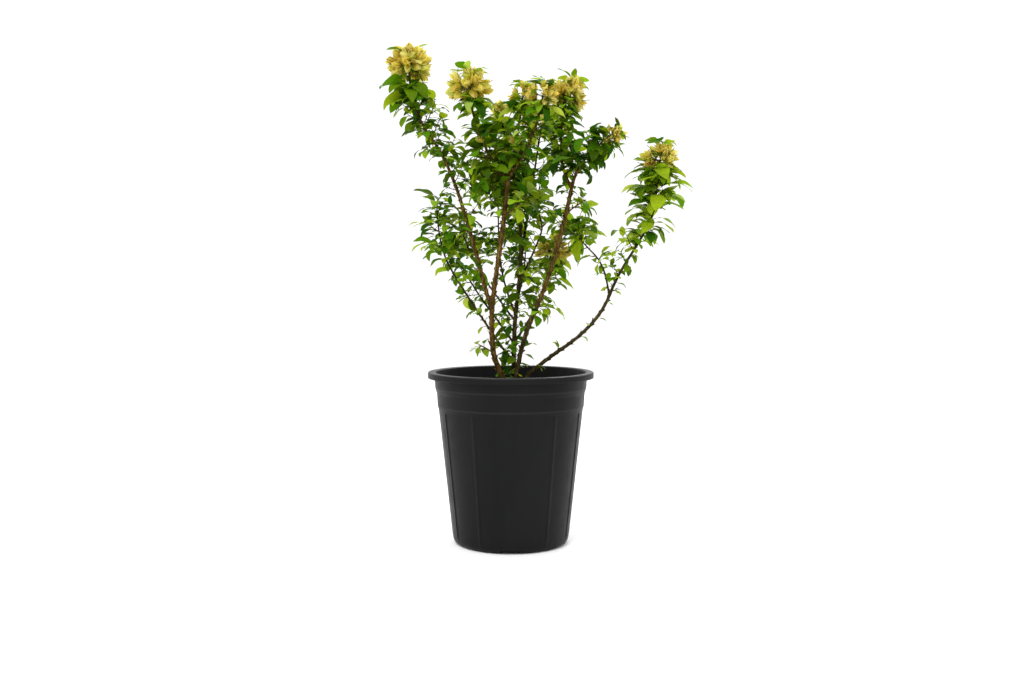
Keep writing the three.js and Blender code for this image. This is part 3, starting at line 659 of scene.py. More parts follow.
def pot_material():
    look = Look("pot_plastic", roughness=0.45, specular=0.08)
    cloud = look.ramp(look.grain(scale=9, stretch=(1, 1, 0.35)), POT_STOPS)
    return look.finish({
        # The rim and step edges are lightened here: a painted highlight
        "Base Color": look.blend(painted_edge_highlight(look), cloud, EDGE_HIGHLIGHT["colour"]),
        "Roughness": look.spread(scale=60, low=0.36, high=0.5),
        "Normal": look.bump(look.grain(scale=900, detail=3), strength=0.25, depth=0.12),
    })


def bark_material(name, *tones):
    """Bark in streaks along the limbs, with pale flecks"""
    look = Look(name, roughness=0.8, specular=0.06)
    streak = look.grain(scale=420, stretch=(1, 1, 0.22))
    return look.finish({
        "Base Color": look.ramp(streak, list(zip(BARK_STOPS, tones))),
        "Roughness": look.spread(scale=300, low=0.65, high=0.9),
        "Normal": look.bump(look.grain(scale=700, stretch=(1, 1, 0.4)), strength=0.6, depth=0.5),
    })


def veins(look):
    """One on the midrib and side veins of a blade, fading to nought between them"""
    across = look.reckon("ABSOLUTE", look.on_blade("X"))
    midrib = look.remap(across, *VEIN["midrib"], 1, 0)
    slant = look.reckon("MULTIPLY", across, VEIN["slant"])
    along = look.reckon("MULTIPLY_ADD", look.on_blade("Y"), VEIN["pairs"], slant)
    side = look.remap(look.reckon("PINGPONG", along, 0.5), 0, VEIN["width"], VEIN["strength"], 0)
    return look.reckon("MAXIMUM", midrib, side)


def blade_material(name, colour, glow, roughness, specular, through, vein_share, tip=None):
    """A thin, veined and mottled blade that lets some light through, and may pale towards its tip"""
    look = Look(name, roughness, specular)
    mottle = look.ramp(look.grain(scale=130), shades(colour, BLADE_SHADES))
    if tip:
        mottle = look.blend(look.remap(look.on_blade("Y"), BRACT_TIP["first"], 1, 0, 1), mottle, tip)
    vein = veins(look)
    vein_colour = shade_of(glow, VEIN["glow"])
    lit = look.add("BsdfTranslucent", {"Color": (*glow, 1)})
    both = look.add("MixShader", {"Fac": through, 1: look.shader.outputs["BSDF"], 2: lit})
    look.feed(look.tree.nodes["Material Output"], {"Surface": both})
    return look.finish({
        "Base Color": look.blend(look.reckon("MULTIPLY", vein, vein_share), mottle, vein_colour),
        "Roughness": look.spread(scale=90, low=roughness - 0.08, high=roughness + 0.12),
        "Normal": look.bump(vein, strength=0.5, depth=0.3),
    })


def leaf_material(name, colour):
    glow = tuple(min(channel * factor, 1) for channel, factor in zip(colour, LEAF_GLOW))
    return blade_material(name, colour, glow, **LEAF_FINISH)


def bract_material(name, colour):
    tip = tuple(lerp(*channels, BRACT_TIP["reach"]) for channels in zip(colour, BRACT_TIP["colour"]))
    return blade_material(name, colour, shade_of(colour, BRACT_GLOW), **BRACT_FINISH, tip=tip)


def tube_material(name, colour):
    return grained_material(name, shades(colour, TUBE_SHADES), **TUBE_FINISH)


# Pot


def rounded(corners):
    """A line through corners of radius, height and rounding, with an arc at each rounded one"""
    line = []
    for index, (radius, height, rounding) in enumerate(corners):
        corner = np.array((radius, height), float)
        if not rounding:
            line.append(corner)
            continue
        start = corner + unit(np.array(corners[index - 1][:2]) - corner) * rounding
        end = corner + unit(np.array(corners[index + 1][:2]) - corner) * rounding
        for t in np.linspace(0, 1, CORNER_STEPS + 1):
            line.append(start * (1 - t) ** 2 + corner * 2 * t * (1 - t) + end * t * t)
    return line


def inside_radius(height):
    """Inside of the wall above the lower step, where it runs straight to the rim"""
    share = (height - LOWER_STEP["foot"]) / (POT_HEIGHT - RIM_ROUND - LOWER_STEP["foot"])
    return lerp(LOWER_STEP["inner"], COLLAR_RADIUS, share) - WALL_THICKNESS


def panel_radius(height):
    """Outside of the panel wall, between the foot's round and the lower step"""
    share = (height - FOOT_ROUND) / (LOWER_STEP["foot"] - FOOT_ROUND)
    return lerp(FOOT_RADIUS, LOWER_STEP["inner"], share)


def pot_profile():
    under_rim = POT_HEIGHT - RIM_THICKNESS
    lip_foot = POT_HEIGHT - LIP_DEPTH
    lip_inside = RIM_RADIUS - LIP_THICKNESS
    return rounded([
        (0, 0, 0),
        (FOOT_RADIUS - FOOT_CORNER["inset"], 0, FOOT_CORNER["round"]),
        (panel_radius(RIB["foot"]), RIB["foot"], 0),
        (panel_radius(RIB["top"]), RIB["top"], 0),
        (LOWER_STEP["inner"], LOWER_STEP["foot"], STEP_ROUND),
        (LOWER_STEP["outer"], LOWER_STEP["top"], STEP_ROUND),
        (UPPER_STEP["inner"], UPPER_STEP["foot"], STEP_ROUND),
        (UPPER_STEP["outer"], UPPER_STEP["top"], STEP_ROUND),
        (COLLAR_RADIUS, under_rim, STEP_ROUND),
        (lip_inside, under_rim, STEP_ROUND),
        (lip_inside, lip_foot, LIP_ROUND),
        (RIM_RADIUS, lip_foot, LIP_ROUND),
        (RIM_RADIUS, POT_HEIGHT, RIM_ROUND),
        (inside_radius(POT_HEIGHT), POT_HEIGHT, RIM_ROUND),
        (inside_radius(LOWER_STEP["foot"]), LOWER_STEP["foot"], STEP_ROUND),
        (FOOT_RADIUS - FLOOR_THICKNESS, FOOT_ROUND, 0),
        (FOOT_RADIUS - FOOT_ROUND, FLOOR_THICKNESS, 0),
        (0, FLOOR_THICKNESS, 0),
    ])


def rib_columns():
    """Bearings of the pot's columns, with a column at each edge of a rib, and how far each stands proud"""
    half = RIB["width"] / 2
    reach = half + RIB["ramp"]
    degrees = 180 / (math.pi * panel_radius(POT_HEIGHT / 2))
    ribs = ring(RIB["count"], RIB["first"])
    columns = []
    for bearing in ring(POT_COLUMNS, RIB["first"]):
        if min(abs((bearing - rib + 180) % 360 - 180) for rib in ribs) > RIB["room"] * reach * degrees:
            columns.append((bearing, 0))
    for rib in ribs:
        edges = ((-reach, 0), (-half, 1), (half, 1), (reach, 0))
        columns += [(rib + offset * degrees, proud) for offset, proud in edges]
    return sorted(columns, key=lambda column: (column[0] - RIB["first"] + 2 * reach) % 360)


def turned(profile, columns, proud_rows=()):
    """Points and faces of a profile turned about the upright axis, closed at both ends on the axis"""
    points = [(0, 0, profile[0][1])]
    for row, (radius, height) in enumerate(profile[1:-1], 1):
        for bearing, proud in columns:
            out = radius + (RIB["proud"] * proud if row in proud_rows else 0)
            angle = math.radians(bearing)
            points.append((out * math.cos(angle), out * math.sin(angle), height))
    points.append((0, 0, profile[-1][1]))
    width = len(columns)
    last = len(points) - 1
    faces = []
    for i in range(width):
        after = (i + 1) % width
        faces.append((0, 1 + after, 1 + i))
        for low in range(1, last - width, width):
            faces.append((low + i, low + after, low + width + after, low + width + i))
        faces.append((last - width + i, last - width + after, last))
    return np.array(points), faces


def box_corners(across, aside, up):
    return np.array([(x, y, z) for x in across for y in aside for z in up], float)


def slot_cutter():
    """Boxes through the pot's rounded foot"""
    batch = Batch()
    box = box_corners((0, 1), (-0.5, 0.5), (-1, 1))
    box = box * (DRAIN_SLOT["depth"], DRAIN_SLOT["width"], DRAIN_SLOT["height"])
    box[:, 0] += FOOT_RADIUS - DRAIN_SLOT["inset"]
    for bearing in ring(DRAIN_SLOT["count"], DRAIN_SLOT["first"]):
        angle = math.radians(bearing)
        out = (math.cos(angle), math.sin(angle), 0)
        aside = (-math.sin(angle), math.cos(angle), 0)
        batch.add(box @ np.array((out, aside, UP)), BOX_SIDES)
    return batch.make("slot_cutter", [])


def make_pot():
    profile = pot_profile()
    tops = [row for row, (radius, height) in enumerate(profile)
            if RIB["foot"] <= height <= RIB["top"] and radius >= panel_radius(height) - SLACK]
    batch = Batch()
    batch.add(*turned(profile, rib_columns(), tops))
    pot = batch.make("pot_shell", [pot_material()])
    cutter = slot_cutter()
    cut = pot.modifiers.new("slots", "BOOLEAN")
    cut.object = cutter
    cut.solver = "EXACT"
    whole = pot.evaluated_get(bpy.context.evaluated_depsgraph_get())
    pot.data = bpy.data.meshes.new_from_object(whole)
    pot.modifiers.clear()
    bpy.data.objects.remove(cutter)
    pot.data.set_sharp_from_angle(angle=math.radians(POT_CREASE))
    place(pot, "pot", ["pot"])


# Potting mix


def mix_height(x, y):
    """Relief of the mix, mounded a little round the stems"""
    lumps = sum(share * noise.noise(Vector((x / size, y / size, level))) for size, level, share in MIX_LUMPS)
    mound = MIX_MOUND["height"] * math.exp(-math.hypot(x, y) / MIX_MOUND["reach"])
    return MIX_TOP + MIX_RELIEF * lumps + mound - MIX_MOUND["sunk"]


def make_mix():
    wall = inside_radius(MIX_TOP) - MIX_GAP
    columns = [(bearing, 0) for bearing in ring(MIX_COLUMNS)]
    body = [(0, FLOOR_THICKNESS + MIX_GAP), (FOOT_RADIUS - FOOT_ROUND, FLOOR_THICKNESS + MIX_GAP),
            (FOOT_RADIUS - FLOOR_THICKNESS - MIX_GAP, FOOT_ROUND),
            (inside_radius(LOWER_STEP["foot"]) - MIX_GAP, LOWER_STEP["foot"])]
    top = [(wall * (1 - i / MIX_RINGS), MIX_TOP) for i in range(MIX_RINGS + 1)]
    points, faces = turned(body + top, columns)
    for point in points:
        if point[2] >= MIX_TOP - SLACK:
            point[2] = mix_height(point[0], point[1])
    batch = Batch()
    batch.add(points, faces)
    material = grained_material("mix_crumb", MIX_STOPS, **MIX_FINISH)
    place(batch.make("mix_body", [material]), "potting_mix", ["potting_mix"])


def make_chips():
    """Loose bark chips and crumbs bedded in the mix"""
    chance = random.Random(CHIP["seed"])
    batch = Batch()
    corners = box_corners((-1, 1), (-1, 1), (-1, 1))
    reach = inside_radius(MIX_TOP) - CHIP["size"][1]
    for _ in range(CHIP["count"]):
        out = reach * math.sqrt(chance.random())
        bearing = chance.uniform(0, math.tau)
        x, y = out * math.cos(bearing), out * math.sin(bearing)
        size = lerp(*CHIP["size"], chance.random() ** CHIP["smallness"]) / 2
        width, thickness = chance.uniform(*CHIP["width"]), chance.uniform(*CHIP["thickness"])
        shape = corners * (size, size * width, size * thickness)
        shape *= [[chance.uniform(*CHIP["ragged"]) for _ in range(3)] for _ in corners]
        turn, tip = chance.uniform(0, math.tau), stray(chance, CHIP["tip"])
        ahead = np.array((math.cos(turn) * math.cos(tip), math.sin(turn) * math.cos(tip), math.sin(tip)))
        aside = unit(np.cross(UP, ahead))
        points = shape @ np.array((ahead, aside, np.cross(ahead, aside)))
        points += (x, y, mix_height(x, y) + size * CHIP["proud"])
        batch.add(points, BOX_SIDES, chance.choices(range(len(CHIP_TONES)), CHIP_SHARES)[0])
    looks = [grained_material(name, shades(tone, CHIP_SHADES), **CHIP_FINISH)
             for name, tone in CHIP_TONES.items()]
    chips = batch.make("mix_chips", looks)
    chips.data.set_sharp_from_angle(angle=math.radians(CHIP["crease"]))
    place(chips, "potting_mix", [])


# Limbs


class Limb:
    """A limb: its plan's values, its centre line and thickness, and random numbers of its own"""

    def __init__(self, name, plan, seed, laid):
        vars(self).update(PLAN_DEFAULTS, **plan)
        self.name, self.seed = name, seed
        self.chance = random.Random(seed)
        self.parent = laid.get(self.parent)
        if self.parent:
            start = self.parent.curve.point(self.at)
            self.stem, self.wood, self.crown = self.parent.stem, self.parent.wood, self.parent.crown
        else:
            start = (*self.foot, MIX_TOP - ROOT_DEPTH)
            self.stem = self
            self.crown = {kind: Batch() for kind in ("leaves", "twigs", "bracts", "flower_tubes")}
        self.curve = self.trace(np.array(start, float))
        self.length = self.curve.length

    def trace(self, start):
        """The centre line from its start, by heading and lean"""
        steps = math.ceil(self.length / TRACE_STEP)
        points = [start]
        for i in range(steps):
            bearing = math.radians(at_station(self.heading, (i + 0.5) / steps))
            tilt = math.radians(at_station(self.lean, (i + 0.5) / steps))
            flat = math.sin(tilt)
            ahead = np.array((flat * math.cos(bearing), flat * math.sin(bearing), math.cos(tilt)))
            points.append(points[-1] + ahead * self.length / steps)
        return Curve(points)

    def radius(self, share):
        run = share * self.length
        swell = FORK_SWELL if self.parent else ROOT_FLARE
        run = run if self.parent else max(run - ROOT_DEPTH, 0)
        return lerp(*self.girth, share) / 2 * (1 + swell["share"] * math.exp(-run / swell["reach"]))

    def add_wood(self, points, faces, tone=None):
        """Adds wood among the twigs"""
        self.crown["twigs"].add(points, faces, WOODS.index(self.wood) if tone is None else tone)


limbs = {}
for number, (limb_name, limb_plan) in enumerate(LIMBS.items(), 1):
    limbs[limb_name] = Limb(limb_name, limb_plan, number, limbs)


def tube(curve, span, radius_at, sides, spacing):
    """Points and faces of a capped tube; radius_at takes the share of the length and the turn"""
    count = max(2, round((span[1] - span[0]) * curve.length / spacing))
    points = []
    for i in range(count + 1):
        share = lerp(*span, i / count)
        spot = curve.frame(share)
        points += [spot.point + spot.radial(turn) * radius_at(share, turn) for turn in ring(sides)]
    faces = [tuple(range(sides)), tuple(range(count * sides + sides - 1, count * sides - 1, -1))]
    for low in range(0, count * sides, sides):
        for k in range(sides):
            after = (k + 1) % sides
            faces.append((low + k, low + sides + k, low + sides + after, low + after))
    return np.array(points), faces


def rod(curve, radii, sides, spacing):
    """A smooth tube along a whole curve, with a radius at each end"""
    return tube(curve, (0, 1), lambda share, _: lerp(*radii, share), sides, spacing)


def scars(limb, first, last):
    """Run and turn of each old leaf scar along a stretch of a limb, in spiral order"""
    chance = random.Random(limb.seed + SCAR_SEED)
    turn = chance.uniform(0, 360)
    run = first
    while run < last:
        yield run, turn
        run += SCAR["spacing"] * chance.uniform(*SCAR["stray"])
        turn += SPIRAL_TURN + stray(chance, TURN_STRAY)


def bark_relief(limb, marks):
    """Radius of a limb at a share and turn, with ridges, grain and the swelling under each scar"""

    def radius_at(share, turn):
        run = share * limb.length
        angle = math.radians(turn)
        sway = RIDGE["sway"] * math.sin(run / RIDGE["sway_length"])
        across = (math.cos(angle) * GRAIN["round"], math.sin(angle) * GRAIN["round"])
        spot = Vector((*across, run / GRAIN["length"] + limb.seed * GRAIN["apart"]))
        relief = 1 + RIDGE["height"] * math.sin(RIDGE["count"] * angle + sway + limb.seed)
        relief += GRAIN["height"] * noise.noise(spot)
        for mark, at in marks:
            if abs(run - mark) < SCAR["reach"] * SCAR["length"]:
                facing = max(0, math.cos(math.radians(turn - at)))
                relief += SCAR["height"] * facing ** 2 * math.exp(-((run - mark) / SCAR["length"]) ** 2)
        return limb.radius(share) * relief

    return radius_at


def add_spike(batch, spot, turn, foot, kind, chance):
    """A short curved thorn or a blunt stub on a scar, slighter on a thin limb"""
    scale = min(1, SPIKE["least"] + foot / SPIKE["foot"])
    length = chance.uniform(*kind["length"]) * scale
    out = spot.pitched(turn, kind["pitch"] + stray(chance, SPIKE["stray"]))
    root = spot.point + spot.radial(turn) * foot * SPIKE["sunk"]
    bend = root + out * length * SPIKE["bend"]
    line = Curve([root, bend, bend + (out + SPIKE["rise"] * spot.ahead) * length * SPIKE["tip"]])
    batch.add(*rod(line, [radius * scale for radius in kind["radius"]], THIN_SIDES, length / SPIKE["steps"]))


def bark_tones(limb, faces):
    """Tone of each face of a limb's tube: 1 is old bark, on the weathered foot, with a ragged upper edge"""
    chance = random.Random(limb.seed + WEATHER_SEED)
    rings = (faces - 2) // BARK_SIDES
    tones = [1, 0]
    for face in range(faces - 2):
        share = limb.leafy * (face // BARK_SIDES) / rings
        tones.append(int(share + chance.gauss(0, WEATHERING_STRAY) < limb.weathered))
    return tones


def make_bark():
    """Every bare limb with its bark, in place of its solid"""
    looks = {wood: bark_material(*tones) for wood, tones in BARK_TONES.items()}
    for limb in limbs.values():
        if limb.leafy == 0:
            continue
        first = limb.parent.radius(limb.at) + SCAR["fork_room"] if limb.parent else 0
        marks = list(scars(limb, first + SCAR["spacing"], limb.leafy * limb.length))
        batch = Batch()
        points, faces = tube(limb.curve, (0, limb.leafy), bark_relief(limb, marks), BARK_SIDES, BARK_RING)
        batch.add(points, faces, bark_tones(limb, len(faces)))
        chance = random.Random(limb.seed + SPIKE_SEED)
        for run, turn in marks:
            share = run / limb.length
            kind = chance.choices(SPIKE_KINDS, SPIKE_SHARES)[0]
            if kind:
                add_spike(batch, limb.curve.frame(share), turn, limb.radius(share), kind, chance)
        node = f"{'bough' if limb.parent else 'stem'}_{limb.name}"
        place(batch.make(node + "_bark", [looks[limb.wood], looks["old_bark"]]), limb.wood, [node])
    return list(looks.values())


# Leaves and bracts


class BladeShape:
    """The grid of a blade: its places across and along, its faces and its outline"""

    COLUMNS = (-1, -0.5, 0, 0.5, 1)
    WAVES = 9

    def __init__(self, width, base, tip, rows, curl, wave):
        self.width, self.curl, self.wave = width, curl, wave
        columns = len(self.COLUMNS)
        middle = np.linspace(0, 1, rows + 2)[1:-1]
        self.across = np.concatenate(([0], np.tile(self.COLUMNS, rows), [0]))
        self.along = np.concatenate(([0], np.repeat(middle, columns), [1]))
        widest = base / (base + tip)
        self.outline = self.along ** base * (1 - self.along) ** tip / (widest ** base * (1 - widest) ** tip)
        self.places = np.column_stack((self.across, self.along))
        last = 1 + columns * rows
        self.faces = [(0, 2 + k, 1 + k) for k in range(columns - 1)]
        for low in range(1, last - columns, columns):
            high = low + columns
            self.faces += [(low + k, low + k + 1, high + k + 1, high + k) for k in range(columns - 1)]
        self.faces += [(last - columns + k, last - columns + k + 1, last) for k in range(columns - 1)]

    def points(self, root, length, bend, fold, phase):
        """The blade from its root, bent along its length, folded along its midrib and waved at its edge"""
        turn = math.radians(bend) * self.along
        arc = length / math.radians(bend)
        half = length * self.width / 2 * self.outline
        rise = half * (fold * np.abs(self.across) - self.curl * self.across ** 2)
        rise += self.wave * half * self.across ** 2 * np.sin(self.WAVES * self.along + phase + self.across)
        drop = np.outer(arc * (1 - np.cos(turn)), root.depth)
        spine = root.point + np.outer(arc * np.sin(turn), root.ahead) - drop
        lift = np.outer(np.cos(turn), root.depth) + np.outer(np.sin(turn), root.ahead)
        return spine + np.outer(half * self.across, root.side) + lift * rise[:, None]


LEAF_BLADE = BladeShape(width=0.48, base=0.64, tip=0.9, rows=7, curl=0.12, wave=0.12)
BRACT_BLADE = BladeShape(width=0.56, base=0.7, tip=0.8, rows=6, curl=0.1, wave=0.16)
# Points of a leaf that are tested against the view, and against the wood
SEEN_SPOTS = slice(None, None, 3)
WOOD_SPOTS = slice(8, None, 10)


def limb_lines():
    """Starts, ways and radii of the bare limbs' steps, to keep leaves out of the wood"""
    starts, ways, radii = [], [], []
    for limb in limbs.values():
        last = len(limb.curve.points) - 1
        for i in range(last):
            if (i + 1) / last <= limb.leafy:
                starts.append(limb.curve.points[i])
                ways.append(limb.curve.points[i + 1] - limb.curve.points[i])
                radii.append(limb.radius(i / last))
    return np.array(starts), np.array(ways), np.array(radii)


WOOD_START, WOOD_WAY, WOOD_RADIUS = limb_lines()


def is_clear(points):
    """True where no point lies in a bare limb, in the mix or in the pot's wall"""
    height = points[:, 2]
    out = np.hypot(points[:, 0], points[:, 1])
    in_wall = (height < POT_HEIGHT + POT_MARGIN) & (out > inside_radius(MIX_TOP) - POT_MARGIN)
    if np.any(in_wall | (height < MIX_TOP + POT_MARGIN)):
        return False
    away = points[:, None] - WOOD_START
    share = np.clip((away * WOOD_WAY).sum(axis=2) / (WOOD_WAY ** 2).sum(axis=1), 0, 1)
    apart = np.linalg.norm(away - WOOD_WAY * share[:, :, None], axis=2)
    return not np.any(apart < WOOD_RADIUS + LIMB_MARGIN)


def seen(points):
    """Places of points on the upright plane through the pot's axis, as they show from the front"""
    scale = -CAMERA_PLACE[1] / (points[:, 1] - CAMERA_PLACE[1])
    flat = np.array((CAMERA_PLACE[0], CAMERA_PLACE[2]))
    return flat + (points[:, (0, 2)] - flat) * scale[:, None]


def is_in_opening(points):
    """True where a point shows in an opening of the crown"""
    flat = seen(points)
    return any(np.any((((flat - opening[:2]) / opening[2:]) ** 2).sum(axis=1) < 1) for opening in OPENINGS)


def shown_wood():
    """Points on the wood that shows from the front, with the room that leaves leave round each"""
    points, room = [], []
    for name, first, last in SHOWN_WOOD:
        limb = limbs[name]
        for share in np.linspace(first, last, round((last - first) * limb.length / SHOWN_STEP)):
            points.append(limb.curve.point(share))
            room.append(limb.radius(share) + SHOWN_MARGIN)
    return np.array(points), np.array(room)


SHOWN_POINTS, SHOWN_ROOM = shown_wood()
SHOWN_PLACES = seen(SHOWN_POINTS)


def hides_wood(points):
    """True where a point stands in front of wood that shows"""
    apart = np.linalg.norm(seen(points)[:, None] - SHOWN_PLACES, axis=2)
    in_front = points[:, 1, None] < SHOWN_POINTS[:, 1]
    return bool(np.any(in_front & (apart < SHOWN_ROOM)))


def add_leaf(limb, spot, root, turn, ahead, length, mean=0, tone=None, roll=LEAF_ROLL, bends=LEAF_BEND):
    """A leaf on its stalk from a shoot, its face turned to the light, of a tone or of one near a mean"""
    chance = limb.chance
    light = UP + LEAF_LEAN * spot.ahead + spot.radial(turn + 90) * stray(chance, roll)
    if tone is None:
        tone = deal_tone(chance, mean)
    stalk = length * chance.uniform(*PETIOLE)
    bend, fold, phase = chance.uniform(*bends), chance.uniform(*LEAF_FOLD), chance.uniform(0, math.tau)
    foot = Frame(root + ahead * stalk, ahead, light)
    blade = LEAF_BLADE.points(foot, length - stalk, bend, fold, phase)
    if not is_clear(blade[WOOD_SPOTS]) or is_in_opening(blade[SEEN_SPOTS]):
        return
    if hides_wood(blade[SEEN_SPOTS]) and chance.random() > SHOWN_STRAY:
        return
    limb.crown["leaves"].add(blade, LEAF_BLADE.faces, tone, LEAF_BLADE.places)
    sides = [foot.side * x + foot.depth * y for x, y in PETIOLE_RING]
    ends = [end + side * radius for end, radius in zip((root, foot.point), PETIOLE_RADIUS) for side in sides]
    limb.crown["leaves"].add(np.array(ends), PETIOLE_SIDES, tone)


def deal_tone(chance, mean):
    """A tone whose level is near a mean, as a place in LEAF_TONES"""
    level = min(max(round(mean + chance.gauss(0, TONE_STRAY)), 0), len(LEAF_TONES) // LEAF_HUES - 1)
    return LEAF_HUES * level + chance.randrange(LEAF_HUES)


def leaf_heading(spot, turn, pitch, chance):
    """Direction of a leaf's stalk, held level where the shoot would point it down, and drawn by its weight"""
    ahead = spot.pitched(turn, pitch)
    level = LEAF_LEVEL * min(ahead[2], 0)
    return unit(ahead - UP * (level + chance.uniform(*LEAF_DROOP)))


def add_rosette(limb, spot, turn, pitch, size, mean):
    """A short spur beside a leaf, with a few smaller leaves on its end"""
    chance = limb.chance
    root = spot.point + spot.pitched(turn, TWIG_PITCH) * ROSETTE["spur"]
    limb.add_wood(*rod(Curve([spot.point, root]), [ROSETTE["radius"]] * 2, STALK["sides"], ROSETTE["spur"]))
    for _ in range(chance.randint(*ROSETTE["leaves"])):
        aside = turn + stray(chance, ROSETTE["spread"])
        ahead = leaf_heading(spot, aside, pitch + stray(chance, 2 * PITCH_STRAY), chance)
        add_leaf(limb, spot, root, aside, ahead, size * chance.uniform(*ROSETTE["size"]), mean)


def add_leaves(limb, curve, span, sizes, spacing, rosettes):
    """Leaves in spiral order along a stretch of shoot, of one tone or near it, a share of them in rosettes"""
    chance = limb.chance
    mean = limb.tone + stray(chance, SHOOT_TONE_STRAY)
    turn = chance.uniform(0, 360)
    run = span[0] * curve.length
    while run <= span[1] * curve.length:
        share = run / curve.length
        spot = curve.frame(share)
        pitch = at_station(LEAF_PITCH, share) + stray(chance, PITCH_STRAY)
        size = at_station(sizes, share) * (1 + stray(chance, LEAF_SIZE_STRAY))
        ahead = leaf_heading(spot, turn, pitch, chance)
        add_leaf(limb, spot, spot.point, turn, ahead, size, mean)
        if chance.random() < rosettes:
            add_rosette(limb, spot, turn, pitch, size, mean)
        turn += SPIRAL_TURN + stray(chance, TURN_STRAY)
        run += at_station(spacing, share)


def twig_curve(spot, turn, length):
    ahead = spot.pitched(turn, TWIG_PITCH)
    bend = spot.point + ahead * length * TWIG_BEND
    end = spot.point + ahead * length + UP * length * TWIG_RISE
    shares = np.linspace(0, 1, TWIG_POINTS)[:, None]
    return Curve(spot.point * (1 - shares) ** 2 + bend * 2 * shares * (1 - shares) + end * shares ** 2)


def add_twig(limb, curve, share, turn, length, size, fine=False):
    """A side twig that leaves the shoot at a turn and curves upwards, with its own leaves"""
    chance = limb.chance
    length *= 1 + stray(chance, TWIG_LENGTH_STRAY)
    line = twig_curve(curve.frame(share), turn, length)
    if not is_clear(line.points[2:]) or is_in_opening(line.points[2:]):
        return
    radii = [radius * (FINE_TWIG["radius"] if fine else 1) for radius in TWIG_RADIUS]
    limb.add_wood(*rod(line, radii, THIN_SIDES, TWIG_RING))
    add_leaves(limb, line, (TWIG_LEAFY, 1), (size,), (TWIG_LEAF_SPACING,), rosettes=0)
    if length > FINE_TWIG["from"] and not fine:
        place_on, turn = chance.uniform(*FINE_TWIG["place"]), chance.uniform(0, 360)
        add_twig(limb, line, place_on, turn, length * FINE_TWIG["length"], size, fine=True)


def leafy_spans(limb):
    """Shares of a limb's length that bear leaves, below its head and above it"""
    start = limb.leafy + FIRST_LEAF / limb.length
    if not limb.head:
        return [(start, 1)]
    reach = limb.head[1] * limb.head_foot / limb.length
    below = (start, limb.head_at - reach)
    return [below] if limb.head_at == 1 else [below, (limb.head_at + reach, 1)]


def add_twigs(limb, span):
    turn = limb.chance.uniform(0, 360)
    run = span[0] * limb.length + FIRST_LEAF
    while run < limb.length * span[1] * TWIG_LAST:
        share = run / limb.length
        add_twig(limb, limb.curve, share, turn, at_station(limb.twig, share), at_station(limb.leaf, share))
        turn += SPIRAL_TURN
        run += at_station(limb.spacing, share) * TWIG_EVERY


def add_spurs(limb):
    """Short spurs with a few small leaves along the bare stretch of a limb"""
    chance = limb.chance
    turn = chance.uniform(0, 360)
    run = limb.spurs[0]
    while run < limb.leafy * limb.length:
        spot = limb.curve.frame(run / limb.length)
        root = spot.point + spot.radial(turn) * limb.radius(run / limb.length)
        for _ in range(chance.choice(SPUR["leaves"])):
            aside = turn + stray(chance, SPUR["spread"])
            ahead = leaf_heading(spot, aside, chance.uniform(*SPUR["pitch"]), chance)
            add_leaf(limb, spot, root, turn, ahead, limb.leaf[0] * chance.uniform(*SPUR["size"]), limb.tone)
        run += at_station(limb.spurs, run / (limb.leafy * limb.length)) * chance.uniform(*SPUR["gap"])
        turn += SPIRAL_TURN + stray(chance, SPUR["turn"])


def add_flower_tube(limb, root, ahead, aside, length):
    """A thin flower tube that hooks over at its mouth"""
    middle = root + ahead * length * TUBE["bend"][0] + aside * length * TUBE["bend"][1]
    line = Curve([root, middle, middle + (ahead + TUBE["hook"] * aside) * length * TUBE["mouth"]])
    tone = int(limb.chance.random() < TUBE["green"])
    limb.crown["flower_tubes"].add(*rod(line, TUBE["radius"], THIN_SIDES, length / TUBE["steps"]), tone)


def add_flower(limb, root, ahead, size, shade):
    """Bracts round a thin flower tube; shade is 0 at the top of a head and 1 at its foot, where it deals
    darker bract tones: painted shade
    """
    chance = limb.chance
    flower = Frame(root, ahead, FLOWER_GUIDE)
    turn = chance.uniform(0, 360)
    shares = [lerp(top, foot, shade) for top, foot in zip(*BRACT_SHARES)]
    for k in range(BRACT_COUNT):
        aside = turn + k * 360 / BRACT_COUNT + stray(chance, BRACT_TURN_STRAY)
        out = flower.radial(aside)
        bract = Frame(root, flower.pitched(aside, chance.uniform(*BRACT_TILT)), out)
        length = size * BRACT_LENGTH * (1 + stray(chance, BRACT_SIZE_STRAY))
        bend, fold = chance.uniform(*BRACT_BEND), chance.uniform(*BRACT_FOLD)
        phase = chance.uniform(0, math.tau)
        tone = chance.choices(range(len(BRACT_TONES)), shares)[0]
        blade = BRACT_BLADE.points(bract, length, bend, fold, phase)
        limb.crown["bracts"].add(blade, BRACT_BLADE.faces, tone, BRACT_BLADE.places)
        if k == 0:
            reach = length * chance.uniform(*TUBE["length"])
            add_flower_tube(limb, root, unit(ahead + TUBE["lean"] * out), out, reach)


def add_stalk(limb, start, end):
    line = Curve([start, lerp(start, end, 0.5) - STALK["sag"] * UP, end])
    limb.add_wood(*rod(line, [STALK["radius"]] * 2, STALK["sides"], line.length / 2), STALK["tone"])


def cluster_axes(spot, clusters, chance):
    """Direction and stalk of each cluster of a head"""
    yield spot.pitched(CLUSTER_FIRST, CLUSTER_TOP["pitch"]), CLUSTER_TOP["stalk"]
    for bearing in ring(clusters - 1, CLUSTER_FIRST):
        turn = bearing + stray(chance, CLUSTER_STRAY)
        yield spot.pitched(turn, CLUSTER_SIDE["pitch"] + stray(chance, CLUSTER_STRAY)), CLUSTER_SIDE["stalk"]


